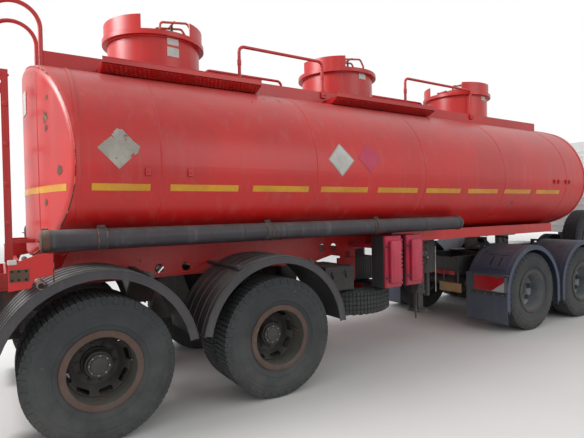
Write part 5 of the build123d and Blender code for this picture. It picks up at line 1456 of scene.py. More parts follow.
def tractor_flap(side):
    """Holder, bolts and hem of the tractor's rubber flap on one side."""
    x = DRIVE_REAR_X - TRACTOR_ARCH
    holder = bar((x - 0.008, side * 0.645, 0.52), (x, side * TRACTOR_FENDER_Y, 0.555), 0.003)
    bolts = arrayed(nut((x - 0.008, side * 0.7, 0.537), BACK, 0.009), (5, (0, side * 0.125, 0)))
    hem = pipe([(x - 0.002, side * 0.66, 0.16), (x - 0.002, side * 1.25, 0.16)], 0.004, 8)
    return joined([dressed(holder, "black_steel"), dressed(bolts, "bright_steel"), dressed(hem, "seal_rubber")])


class LORRY_OT_fenders(bpy.types.Operator):
    """Rib and bead the fenders, bolt their stays and hang their rubber flaps"""

    bl_idname = "lorry.fenders"
    bl_label = "Rib the fenders"

    def execute(self, context):
        rib = context.scene.lorry_details.fender_rib
        piece(both_sides(trailer_arch, rib), "trailer_fender_ribs", "trailer", "fender_charcoal",
              "fender_charcoal")
        piece(both_sides(trailer_flap), "trailer_flap_fittings", "trailer", "fender_charcoal")
        piece(both_sides(tractor_arch), "tractor_fender_beads", "tractor", "fender_blue_black",
              "fender_blue_black")
        piece(both_sides(fender_recess), "tractor_fender_recess", "tractor", "fender_blue_black")
        piece(both_sides(tractor_flap), "tractor_flap_fittings", "tractor", "fender_blue_black")
        return {"FINISHED"}


class LORRY_OT_side_boxes(bpy.types.Operator):
    """Frame, latch and hinge the extinguisher boxes, and latch the tool box"""

    bl_idname = "lorry.side_boxes"
    bl_label = "Finish the side boxes"

    def execute(self, context):
        for number in (1, 2):
            low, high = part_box(f"extinguisher_lid_{number}")
            x0, x1, z0, z1, y = low.x, low.x + 0.242, low.z, high.z, low.y
            parts = Forms()
            parts.add("box_crimson", bar, (x0 + 0.045, y - 0.045, z0 + 0.047),
                      (x1 - 0.04, y + 0.004, z1 - 0.047), 0.02, 3)
            parts.add("box_crimson", bar, (x0 + 0.075, y - 0.0485, z0 + 0.08), (x1 - 0.07, y - 0.04, z1 - 0.08),
                      0.003, 2)
            rim = [(x, y, z) for x, z in oblong(x0 + 0.012, x1 - 0.012, z0 + 0.012, z1 - 0.012)]
            parts.add("box_crimson", pipe, ring_path(rim, 0.03), 0.006, 8, True)
            for share in (0.2, 0.8):
                z = z0 + (z1 - z0) * share
                parts.add("black_plastic", bar, (x0 - 0.003, y - 0.012, z - 0.012), (x0 + 0.05, y, z + 0.012))
                parts.add("black_plastic", bar, (x0 + 0.004, y - 0.02, z - 0.009),
                          (x0 + 0.03, y - 0.012, z + 0.009), 0.003, 2)
            knuckle = rod((x1 + 0.001, y + 0.006, z0 + 0.03), (x1 + 0.001, y + 0.006, z0 + 0.06), 0.012, 12,
                          0.003)
            parts.add("box_crimson", arrayed, knuckle, (11, (0, 0, 0.0465)))
            piece(parts, f"box_{number}_latches", f"extinguisher_lid_{number}", "box_crimson")

        sides = []
        for x0, x1 in BOX_RUNS:
            for x, way in ((x0, -1), (x1, 1)):
                sides.append(bar((x, -1.158, BOX_LOW), (x + way * 0.003, -0.974, BOX_HIGH), 0.001))
            sides.append(bar((x0, -1.158, BOX_LOW - 0.003), (x1, -0.974, BOX_LOW), 0.001))
        piece(sides, "box_side_covers", "trailer", "box_crimson", "black_plastic")

        low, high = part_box("tool_box")
        parts = Forms()
        for x in (low.x + 0.08, high.x - 0.12):
            parts.add("black_steel", bar, (x, low.y - 0.012, low.z + 0.15), (x + 0.04, low.y, low.z + 0.21))
            parts.add("black_steel", bar, (x + 0.01, low.y - 0.02, low.z + 0.13),
                      (x + 0.03, low.y - 0.008, low.z + 0.17))
        parts.add("black_steel", bar, (low.x - 0.006, low.y - 0.006, low.z + 0.185),
                  (high.x + 0.006, low.y + 0.05, low.z + 0.19), 0.002)
        for x in (low.x + 0.03, high.x - 0.03):
            parts.add("black_steel", bar, (x - 0.015, low.y + 0.01, low.z + 0.249),
                      (x + 0.015, high.y - 0.01, low.z + 0.256), 0.002)
        piece(parts, "tool_box_latches", "trailer", "black_steel")
        return {"FINISHED"}


def landing_leg(side):
    """Caps, stays, bolts, pin holes, side plate and screw of one landing leg."""
    x, y = LEG_X, side * LEG_Y
    parts = Forms()
    parts.add("leg_grey", bar, (x - 0.07, y - 0.07, 1.27), (x + 0.07, y + 0.07, 1.298), 0.004)
    parts.add("leg_grey", bar, (x - 0.064, y - 0.064, 0.612), (x + 0.064, y + 0.064, 0.655), 0.006)
    parts.add("leg_grey", bar, (x - 0.1, y - 0.1, 0.392), (x + 0.1, y + 0.1, 0.404), 0.004)
    parts.add("leg_grey", bar, (x - 0.045, y - side * 0.12, 0.404), (x + 0.045, y - side * 0.1, 0.47), 0.004)
    parts.add("leg_grey", rod, (x + 0.05, y - side * 0.02, 1.24), (x + 0.42, y - side * 0.2, 1.29), 0.018, 12,
              0.003)
    parts.add("leg_grey", rod, (x, y - side * 0.03, 0.72), (x - 0.32, y - side * 0.21, 1.2), 0.018, 12, 0.003)
    for z in (0.7, 0.78, 1.18):
        parts.add("black_steel", nut, (x - 0.055, y, z), BACK, 0.011)
        parts.add("black_steel", nut, (x, y + side * 0.055, z), (0, side, 0), 0.011)
    # Dark discs on the leg: painted shade of its pin holes.
    hole_shade = rod((x - 0.0435, y, 0.45), (x - 0.0425, y, 0.45), 0.009, 10)
    parts.add("hole_dark", arrayed, hole_shade, (4, (0, 0, 0.045)))
    parts.add("leg_grey", bar, (x + 0.06, y, 0.86), (x + 0.31, y + side * 0.008, 1.34))
    parts.add("leg_grey", bar, (x + 0.075, y + side * 0.008, 0.9), (x + 0.17, y + side * 0.03, 1.33), 0.006)
    # Dark discs on the side plate: painted shade of its openings.
    opening = rod((x + 0.122, y + side * 0.029, 1.1), (x + 0.122, y + side * 0.0312, 1.1), 0.017, 14)
    parts.add("hole_dark", arrayed, opening, (3, (0, 0, 0.075)))
    parts.add("bright_steel", rod, (x + 0.325, y + side * 0.01, 0.6), (x + 0.325, y + side * 0.01, 1.2), 0.0065,
              10)
    parts.add("leg_grey", rod, (x + 0.2, y - side * 0.03, 0.56), (x + 0.2, y - side * 0.03, 0.86), 0.035, 18,
              0.006)
    return joined(parts)


class LORRY_OT_landing_legs(bpy.types.Operator):
    """Gear, crank, brace and bolt the landing legs"""

    bl_idname = "lorry.landing_legs"
    bl_label = "Finish the landing legs"

    def execute(self, context):
        piece(both_sides(landing_leg), "leg_fittings", "trailer", "leg_grey")
        x, y = LEG_X, -LEG_Y
        gear = Forms()
        gear.add("leg_grey", bar, (x - 0.05, y - 0.115, 1.0), (x + 0.05, y - 0.055, 1.16), 0.012, 2)
        gear.add("bright_steel", rod, (x, y - 0.115, 1.08), (x, y - 0.17, 1.08), 0.014, 14, 0.002)
        gear.add(
            "leg_grey", pipe,
            rounded(
                [(x, y - 0.165, 1.08), (x - 0.02, y - 0.185, 1.06), (x - 0.235, y - 0.185, 0.66),
                 (x - 0.245, y - 0.185, 0.36)],
                0.03, 4
            ),
            0.009
        )
        gear.add("black_plastic", rod, (x - 0.245, y - 0.185, 0.4), (x - 0.245, y - 0.185, 0.52), 0.015, 14,
                 0.003)
        for step in (-0.03, 0.03):
            for z in (1.02, 1.14):
                gear.add("bright_steel", nut, (x + step, y - 0.115, z), RIGHT, 0.008)
        piece(gear, "leg_crank", "trailer", "leg_grey")
        return {"FINISHED"}


def brake_chamber(x, y, z, way):
    """Round brake chamber lying along the lorry, with its clamp ring and push rod."""
    can = turned(
        [(0, 0), (0, 0.05), (0.02, 0.072), (0.06, 0.076), (0.062, 0.084), (0.074, 0.084),
         (0.076, 0.076), (0.12, 0.07), (0.14, 0.05), (0.14, 0)],
        (x, y, z), (way, 0, 0), UP, 28,
    )
    shaft = rod((x, y, z), (x - way * 0.12, y, z), 0.011, 10, 0.002)
    return joined([dressed(can, "axle_black"), dressed(shaft, "bright_steel")])


def u_bolts(x, y, low, high, half=0.05, reach=0.085):
    """Two clips round a spring and its axle, with their nuts and plate."""
    parts = []
    for step in (-reach, reach):
        path = rounded(
            [(x + step, y - half, high), (x + step, y - half, low), (x + step, y + half, low),
             (x + step, y + half, high)],
            0.02, 4
        )
        parts.append(pipe(path, 0.009))
        for way in (-half, half):
            parts.append(nut((x + step, y + way, high - 0.01), UP, 0.015))
    parts.append(
        bar((x - reach - 0.025, y - half - 0.02, high - 0.025),
            (x + reach + 0.025, y + half + 0.02, high - 0.01), 0.004)
    )
    return joined(parts)


def trailer_springs(side):
    """Clips, leaf ledges and brake chambers of both trailer axles on one side."""
    parts = Forms()
    for axle_x in (TRAILER_REAR_X, TRAILER_FRONT_X):
        parts.add("axle_black", u_bolts, axle_x, side * 0.48, 0.465, 0.715)
        parts.append(brake_chamber(axle_x + 0.2, side * 0.33, 0.6, 1))
        parts.add(
            "axle_black", bar, (axle_x + 0.03, side * 0.26, 0.5), (axle_x + 0.06, side * 0.4, 0.66), 0.004
        )
        parts.add("axle_black", bar, (axle_x + 0.04, side * 0.3, 0.575), (axle_x + 0.21, side * 0.36, 0.59))
        for way in (-1, 1):
            for level in range(3):
                start = (axle_x + way * 0.11, side * 0.48, 0.625 + level * 0.022)
                end = (axle_x + way * (0.5 - 0.06 * level), side * 0.48, 0.735 - level * 0.006)
                parts.add("axle_black", leaf_line, start, end, 0.0465)
    return joined(parts)


def tractor_springs(side):
    """Clips, brake chambers and frame rivets on one side of the tractor."""
    parts = Forms()
    for axle_x in (DRIVE_REAR_X, DRIVE_FRONT_X):
        parts.append(brake_chamber(axle_x + 0.2, side * 0.34, 0.66, 1))
        parts.add("axle_black", bar, (axle_x + 0.05, side * 0.3, 0.6), (axle_x + 0.21, side * 0.38, 0.62))
    middle_x = (DRIVE_REAR_X + DRIVE_FRONT_X) / 2
    parts.add("axle_black", u_bolts, middle_x, side * 0.5, 0.545, 0.705, 0.055)
    parts.add("axle_black", u_bolts, STEER_X, side * 0.38, 0.36, 0.575, 0.05, 0.07)
    rivet = nut((-0.3, side * 0.425, 0.76), (0, side, 0), 0.011, 0.4)
    parts.add("frame_dark", arrayed, rivet, (2, (0, 0, 0.18)), (11, (0.27, 0, 0)))
    return joined(parts)


class LORRY_OT_undercarriage(bpy.types.Operator):
    """Clamp the springs and hang the brake chambers, the air tank and the valve cabinet"""

    bl_idname = "lorry.undercarriage"
    bl_label = "Equip the undercarriage"

    def execute(self, context):
        piece(both_sides(trailer_springs), "trailer_springs_fittings", "trailer", "axle_black")

        tank = turned(
            [(0, 0), (0.012, 0.06), (0.03, 0.105), (0.055, 0.128), (0.06, 0.13), (0.72, 0.13),
             (0.725, 0.128), (0.75, 0.105), (0.768, 0.06), (0.78, 0)],
            (-3.4, -0.39, 0.975), LEFT, UP, 36,
        )
        parts = Forms([dressed(tank, "frame_dark")])
        for y in (-0.22, 0.22):
            parts.add("bright_steel", hoop, (-3.4, y, 0.975), LEFT, 0.131, 0.006, 40, 6)
            parts.add("frame_dark", bar, (-3.44, y - 0.02, 1.09), (-3.36, y + 0.02, 1.13), 0.004)
        piece(parts, "trailer_air_tank", "trailer", "frame_dark")

        panels = Forms()
        panels.add("tank_red", bar, (-2.64, -0.5, 0.84), (-2.37, -0.492, 1.13))
        panels.add("tank_red", bar, (-2.645, -0.512, 0.84), (-2.63, -0.48, 1.13))
        panels.add("frame_dark", bar, (-2.36, -0.49, 0.84), (-2.03, -0.2, 1.12), 0.012, 2)
        rib = bar((-2.345, -0.497, 0.86), (-2.33, -0.488, 1.1), 0.003)
        panels.add("frame_dark", arrayed, rib, (9, (0.0365, 0, 0)))
        piece(panels, "valve_cabinet", "trailer", "frame_dark")
        piece(both_sides(tractor_springs), "tractor_axle_fittings", "tractor", "axle_black")
        return {"FINISHED"}


def lamp_frame(side, lamp_x):
    """Rim and clear corner of the tail lamp on one side."""
    parts = Forms()
    for a, b in four_bars((0.782, 0.572), (1.258, 0.788), 0.012):
        parts.add(
            "black_plastic", bar, (lamp_x + 0.036, side * a[0], a[1]), (lamp_x - 0.006, side * b[0], b[1])
        )
    triangle = [(lamp_x, side * 1.246, 0.584), (lamp_x, side * 1.246, 0.715), (lamp_x, side * 1.06, 0.584)]
    parts.add("lens_clear", slab, triangle, (-0.004, 0, 0), 0.001)
    return joined(parts)


class LORRY_OT_tractor_rear(bpy.types.Operator):
    """Frame the tail lamps, hang the blank plate and bolt the coupling plate"""

    bl_idname = "lorry.tractor_rear"
    bl_label = "Equip the tractor's tail"

    def execute(self, context):
        lamp_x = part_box("tail_lamps")[0].x
        piece(both_sides(lamp_frame, lamp_x), "tail_lamp_frames", "tractor", "lens_red")

        plate_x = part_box("tractor_frame")[0].x - 0.014
        parts = Forms()
        parts.add("plate_yellow", bar, (plate_x - 0.003, -0.51, 0.47), (plate_x, -0.12, 0.6), 0.001)
        for y in (-0.45, -0.2):
            parts.add("frame_dark", bar, (plate_x, y - 0.015, 0.48), (plate_x + 0.012, y + 0.015, 0.78), 0.002)
            parts.add("bright_steel", nut, (plate_x - 0.003, y, 0.585), BACK, 0.006)
        piece(parts, "tractor_plate_blank", "tractor", "frame_dark")

        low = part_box("fifth_wheel")[0]
        parts = Forms()
        for side in (-1, 1):
            bolt = nut((low.x + 0.2, side * 0.36, 1.0), UP, 0.012)
            parts.add("black_steel", arrayed, bolt, (6, (0.13, 0, 0)))
            parts.add("coupling_grey", rod, (0.9, side * 0.24, 1.17), (0.9, side * 0.345, 1.17), 0.035, 20,
                      0.004)
        handle = rounded([(0.72, -0.3, 1.225), (0.72, -0.5, 1.225), (0.66, -0.56, 1.215), (0.6, -0.56, 1.215)],
                         0.03, 4)
        parts.add("black_steel", pipe, handle, 0.011)
        piece(parts, "coupling_fittings", "tractor", "coupling_grey")
        return {"FINISHED"}


def ring_path(corners, radius, count=5):
    """Closed path through the corners, each of them rounded."""
    path = []
    for number, corner in enumerate(corners):
        path += bend(corner, radius, corners[number - 1], corners[(number + 1) % len(corners)], count)
    return path


def screen_x(z):
    """Where the windscreen's outer face is at a height."""
    return 6.18 - (z - 1.96) * 0.27 / 0.84


def mirror_panes(side):
    """Two silvered panes and the rim of one mirror."""
    panes = Forms()
    panes.add("mirror_face", bar, (6.013, side * 1.32, 2.16), (6.017, side * 1.48, 2.57), 0.001)
    panes.add("mirror_face", bar, (6.013, side * 1.32, 2.01), (6.017, side * 1.48, 2.14), 0.001)
    rim = [(6.0155, side * y, z) for y, z in oblong(1.312, 1.488, 2.0, 2.58)]
    panes.add("black_plastic", pipe, ring_path(rim, 0.012), 0.005, 8, True)
    return joined(panes)


class LORRY_OT_cab_outside(bpy.types.Operator):
    """Seal the windows and fit wipers, mirror panes, grips, ribs, visor, roof lamps and radiator core"""

    bl_idname = "lorry.cab_outside"
    bl_label = "Finish the cab outside"

    def execute(self, context):
        seal = context.scene.lorry_details.seal_radius
        screen = [(screen_x(z), y, z) for y, z in oblong(-1.13, 1.13, 2.0, 2.78)]
        parts = [pipe(ring_path(screen, 0.06), seal, 8, True)]
        for y in (-0.62, 0.62):
            window = [(CAB_REAR_X, *corner) for corner in oblong(y - 0.28, y + 0.28, 2.14, 2.56)]
            parts.append(pipe(ring_path(window, 0.06), seal, 8, True))
        piece(parts, "window_seals", "cab", "black_plastic", "seal_rubber")

        for side_name, side in SIDES:
            y = side * (CAB_HALF + 0.001)
            window = [(5.035, y, 1.96), (5.845, y, 1.96), (5.645, y, 2.77), (5.035, y, 2.77)]
            parts = Forms()
            parts.add("seal_rubber", pipe, ring_path(window, 0.03), seal * 0.8, 8, True)
            parts.add("black_plastic", bar, (4.99, side * CAB_HALF, 1.765),
                      (5.165, side * (CAB_HALF + 0.004), 1.83), 0.0015)
            grip = rounded(
                [(5.005, y, 1.797), (5.005, y + side * 0.03, 1.797), (5.145, y + side * 0.03, 1.797),
                 (5.145, y, 1.797)],
                0.012, 4
            )
            parts.add("black_plastic", pipe, grip, 0.009)
            for z in (1.33, 1.68):
                parts.add("cab_white", bar, (5.0, side * CAB_HALF, z),
                          (5.9, side * (CAB_HALF + 0.006), z + 0.03))
            piece(parts, f"door_{side_name}_fittings", f"door_{side_name}", "cab_white")

        arms = []
        for y in (-0.55, 0.35):
            foot = Vector((screen_x(1.98) + 0.02, y, 1.975))
            tip = Vector((screen_x(2.3) + 0.035, y + 0.42, 2.3))
            arms.append(rod(foot - Vector((0.03, 0, 0.01)), foot + Vector((0.015, 0, 0.005)), 0.02, 16, 0.003))
            arms.append(
                pipe(rounded([foot, foot + (tip - foot) * 0.3 + Vector((0.012, 0, 0)), tip], 0.1, 4), 0.007)
            )
            blade_low = tip + Vector((-0.008, -0.3, -0.24))
            blade_high = tip + Vector((-0.012, 0.3, 0.2))
            blade_low.x, blade_high.x = screen_x(blade_low.z) + 0.014, screen_x(blade_high.z) + 0.014
            arms.append(pipe([blade_low, blade_high], 0.008, 8))
        piece(arms, "wipers", "cab", "black_plastic", "black_plastic")
        piece(both_sides(mirror_panes), "mirror_faces", "cab", "black_plastic")

        ribs = []
        for z in (1.28, 1.42, 1.56, 1.70, 1.84, 1.98):
            ribs.append(bar((CAB_REAR_X - 0.008, -1.08, z), (CAB_REAR_X + 0.002, 1.08, z + 0.05), 0.006, 2))
        for z in (2.68, 2.78):
            ribs.append(bar((CAB_REAR_X - 0.008, -1.08, z), (CAB_REAR_X + 0.002, 1.08, z + 0.04), 0.006, 2))
        for side in (-1, 1):
            ribs.append(bar((4.12, side * CAB_HALF, 2.1), (4.8, side * (CAB_HALF + 0.006), 2.14), 0.004))
            ribs.append(bar((4.12, side * CAB_HALF, 2.5), (4.8, side * (CAB_HALF + 0.006), 2.54), 0.004))
        piece(ribs, "cab_ribs", "cab", "cab_white", "cab_white")

        visor = Forms()
        low, high = (screen_x(2.74) + 0.2, 2.74), (5.9, 2.885)
        path = [(high[0], high[1]), (low[0], low[1]), (low[0] - 0.006, low[1] - 0.012),
                (high[0] - 0.012, high[1] - 0.012)]
        visor.add("visor_smoke", slab, [(x, -1.1, z) for x, z in path], (0, 2.2, 0), 0.003)
        for y in (-0.9, 0, 0.9):
            visor.add("black_plastic", bar, (5.84, y - 0.015, 2.855), (5.93, y + 0.015, 2.885), 0.004)
        piece(visor, "sun_visor", "cab", "black_plastic")

        roof = []
        for y in (-0.95, -0.32, 0.32, 0.95):
            base = turned([(-0.004, 0), (-0.004, 0.04), (0.01, 0.038), (0.014, 0.03)], (5.56, y, 3.05), UP,
                          AHEAD, 24)
            lens = turned([(0.012, 0.032), (0.024, 0.03), (0.034, 0.018), (0.037, 0)], (5.56, y, 3.05), UP,
                          AHEAD, 24)
            roof += [dressed(base, "black_plastic"), dressed(lens, "lens_amber")]
        hatch = dressed(bar((4.85, -0.32, 3.046), (5.35, 0.32, 3.07), 0.015, 2), "black_plastic")
        piece(joined([*roof, hatch]), "roof_lamps", "cab", "black_plastic")

        core = dressed(bar((6.152, -0.84, 1.23), (6.158, 0.84, 1.67), 0), "hole_dark")
        fins = Forms()
        fins.add("black_steel", arrayed, bar((6.158, -0.83, 1.235), (6.162, -0.822, 1.665), 0),
                 (42, (0, 0.0402, 0)))
        trim = [(6.226, *corner) for corner in oblong(-0.85, 0.85, 1.22, 1.68)]
        fins.add("black_plastic", pipe, ring_path(trim, 0.05), 0.008, 8, True)
        piece(joined([core, *fins]), "radiator_core", "cab", "black_plastic")
        return {"FINISHED"}


def headlamp(side, back, front):
    """Tray, two bowls with bulbs, turn lamp and glass of one headlamp."""
    near, far, z0, z1 = 0.761, 1.149, 0.501, 0.699
    tray = Forms()
    tray.add("black_plastic", bar, (back, side * near, z0), (back + 0.006, side * far, z1), 0)
    for a, b in four_bars((near, z0), (far, z1), 0.008):
        tray.add("black_plastic", bar, (back, side * a[0], a[1]), (front - 0.002, side * b[0], b[1]), 0.002)
    for y, radius in ((0.865, 0.075), (1.03, 0.075)):
        tray.add(
            "mirror_face", turned,
            [(0.008, 0.02), (0.012, 0.045), (0.03, radius * 0.85), (0.05, radius), (0.053, radius + 0.004),
             (0.046, radius + 0.004), (0.006, 0.05), (0.004, 0.02), (0.008, 0.02)],
            (back, side * y, 0.6), AHEAD, UP, 32,
        )
        tray.add("lens_clear", turned, [(0.006, 0), (0.006, 0.012), (0.028, 0.011), (0.034, 0.005), (0.035, 0)],
                 (back, side * y, 0.6), AHEAD, UP, 16)
    tray.add("lens_amber", bar, (front - 0.03, side * 1.11, 0.52), (front - 0.012, side * 1.138, 0.68))
    tray.add("glass", bar, (front - 0.006, side * (near + 0.006), z0 + 0.006),
             (front - 0.001, side * (far - 0.006), z1 - 0.006), 0.002)
    return joined(tray)


def step_studs(side):
    """Studs on the three boarding steps of one side."""
    bumps = []
    for z in (0.415, 0.735, 1.055):
        stud = rod((5.49, side * 0.97, z - 0.001), (5.49, side * 0.97, z + 0.005), 0.012, 6, end_radius=0.008)
        bumps.append(arrayed(stud, (8, (0.047, 0, 0)), (5, (0, side * 0.052, 0))))
    return joined(bumps)


def fuel_cap(side):
    """Cap, strap ends and bolts of the fuel tank on one side."""
    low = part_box("fuel_tanks")[0]
    start = low.x if side > 0 else 3.42
    length = 1.25 if side > 0 else 0.6
    cap = turned([(0, 0.05), (0.03, 0.05), (0.036, 0.044), (0.036, 0)],
                 (start + length * 0.5, side * 1.0, 0.958), UP, AHEAD, 28)
    parts = Forms([dressed(cap, "black_plastic")])
    for x in (start + length * 0.2, start + length * 0.8):
        parts.add("bright_steel", nut, (x, side * 1.229, 0.62), (0, side, 0), 0.012)
        parts.add("bright_steel", bar, (x - 0.02, side * 1.226, 0.6), (x + 0.02, side * 1.232, 0.72), 0.002)
    return joined(parts)


class LORRY_OT_front_lamps(bpy.types.Operator):
    """Build the headlamps and fit the bumper's trim, the step treads and the fuel caps"""

    bl_idname = "lorry.front_lamps"
    bl_label = "Fit the front lamps"

    def execute(self, context):
        low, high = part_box("headlamps")
        lamps = piece(both_sides(headlamp, low.x, high.x), "headlamp_units", "tractor", "lens_clear")
        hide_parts("headlamps")

        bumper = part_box("front_bumper")[1].x
        parts = Forms()
        parts.add("black_steel", arrayed, bar((bumper - 0.012, -0.555, 0.4), (bumper - 0.008, -0.549, 0.48), 0),
                  (28, (0, 0.0408, 0)))
        # Dark sheet behind the slats: painted shade of the grille's opening.
        parts.add("hole_dark", bar, (bumper - 0.016, -0.56, 0.4), (bumper - 0.0125, 0.56, 0.48), 0)
        for z in (0.362, 0.74, 0.905):
            parts.add("bumper_grey", bar, (bumper - 0.004, -1.08, z), (bumper + 0.004, 1.08, z + 0.012))
        for side in (-1, 1):
            parts.add("bumper_grey", bar, (bumper - 0.003, side * 0.5, 0.53),
                      (bumper + 0.004, side * 0.62, 0.65), 0.004)
            parts.add(
                "lens_clear", turned, [(0, 0.05), (0.006, 0.05), (0.008, 0.044), (0.004, 0.04), (0.006, 0)],
                (bumper - 0.002, side * 0.68, 0.44), AHEAD, UP, 28
            )
        piece(parts, "bumper_trim", "tractor", "bumper_grey")
        piece(both_sides(step_studs), "step_treads", "tractor", "black_steel", "bright_steel")
        piece(both_sides(fuel_cap), "fuel_tank_caps", "tractor", "tank_aluminium")
        return {"FINISHED"}


def stuffed(obj, voxel, pressure, most):
    """Swell a closed form as stuffed cloth, no vertex by more than a limit, and subdivide it once."""
    pick(obj)
    even = obj.modifiers.new("even", "REMESH")
    even.mode, even.voxel_size = "VOXEL", voxel
    bpy.ops.object.modifier_apply(modifier=even.name)
    start = [vertex.co.copy() for vertex in obj.data.vertices]
    cloth = obj.modifiers.new("cloth", "CLOTH")
    cloth.settings.use_pressure = True
    cloth.settings.uniform_pressure_force = pressure
    cloth.settings.effector_weights.gravity = 0
    for number in range(1, 21):
        bpy.context.scene.frame_set(number)
    bpy.ops.object.modifier_apply(modifier=cloth.name)
    bpy.context.scene.frame_set(1)
    for vertex, before in zip(obj.data.vertices, start):
        travel = vertex.co - before
        if travel.length > most:
            vertex.co = before + travel.normalized() * most
    finer = obj.modifiers.new("finer", "SUBSURF")
    finer.levels = finer.render_levels = 1
    bpy.ops.object.modifier_apply(modifier=finer.name)
    return obj or obj


class LORRY_OT_cab_inside(bpy.types.Operator):
    """Upholster the seats and fit dials, vents, levers and pedals"""

    bl_idname = "lorry.cab_inside"
    bl_label = "Finish the cab inside"

    def execute(self, context):
        bases = Forms()
        for name, y in (("passenger", -0.56), ("driver", 0.56)):
            bases.add("dash_grey", bar, (4.9, y - 0.2, 1.415), (5.26, y + 0.2, 1.5), 0.01)
            for level in range(4):
                bases.add("seal_rubber", bar, (4.94, y - 0.17, 1.5 + 0.055 * level),
                          (5.22, y + 0.17, 1.54 + 0.055 * level), 0.012, 2)
            bases.add("dash_grey", bar, (4.89, y - 0.22, 1.72), (5.29, y + 0.22, 1.765), 0.012, 2)
            bases.add("dash_grey", bar, (5.0, y - 0.27, 1.76), (5.1, y - 0.235, 1.82), 0.01)
            cushion = bar((4.95, y - 0.228, 1.782), (5.372, y + 0.228, 1.925), 0.045, 3)
            outline = ((4.892, 1.84), (4.786, 2.45), (4.8, 2.478), (4.846, 2.48), (4.962, 1.95), (4.972, 1.85))
            back = slab([(x, y - 0.218, z) for x, z in outline], (0, 0.436, 0), 0.015)
            for part, form in (("cushion", cushion), ("back", back)):
                form = stuffed(form, 0.011, 4.0, 0.014)
                piece(form, f"{name}_seat_{part}", "cab", "seat_cloth", "seat_cloth", 60)
        base = piece(bases, "seat_bases", "cab", "seat_cloth")
        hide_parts("seats")

        parts = Forms()
        parts.add("dash_grey", bar, (5.83, 0.3, 1.9), (6.02, 0.82, 1.99), 0.02, 2)
        for y, radius in ((0.44, 0.05), (0.56, 0.032), (0.68, 0.05)):
            parts.add("hole_dark", turned, [(0.0, 0), (0.0, radius * 0.9), (0.004, radius), (-0.004, radius)],
                      (5.828, y, 1.945), BACK, UP, 28)
            parts.add("bright_steel", hoop, (5.826, y, 1.945), AHEAD, radius, 0.0035, 28, 6)
            parts.add("plate_white", bar, (5.8235, y - 0.001, 1.945), (5.8245, y + 0.001, 1.945 + radius * 0.8),
                      0)
        for y in (-0.95, -0.3, 0.12, 1.0):
            for level in range(4):
                parts.add("black_plastic", bar, (5.765, y - 0.06, 1.83 + 0.018 * level),
                          (5.8, y + 0.06, 1.838 + 0.018 * level), 0.002)
        # Dark block on the dash: painted shade of an opening.
        parts.add("hole_dark", bar, (5.76, -0.16, 1.72), (5.81, 0.02, 1.79), 0.004)
        for y in (0.36, 0.5, 0.74):
            parts.add("black_steel", pipe, rounded([(5.98, y, 1.68), (5.9, y, 1.6), (5.86, y, 1.5)], 0.04, 4),
                      0.009)
            parts.add("seal_rubber", bar, (5.835, y - 0.035, 1.46), (5.85, y + 0.035, 1.53), 0.004)
        stalk = rounded([(5.72, 0.6, 2.05), (5.7, 0.68, 2.08), (5.7, 0.74, 2.1)], 0.02, 4)
        parts.add("black_plastic", pipe, stalk, 0.006)
        piece(parts, "dashboard_fittings", "cab", "black_plastic")
        return {"FINISHED"}


CAMERA_PLACE = (-6.0206, -4.8478, 1.6898)
CAMERA_YAW, CAMERA_PITCH, CAMERA_ROLL = radians(32.3178), radians(-0.9066), radians(-1.126)


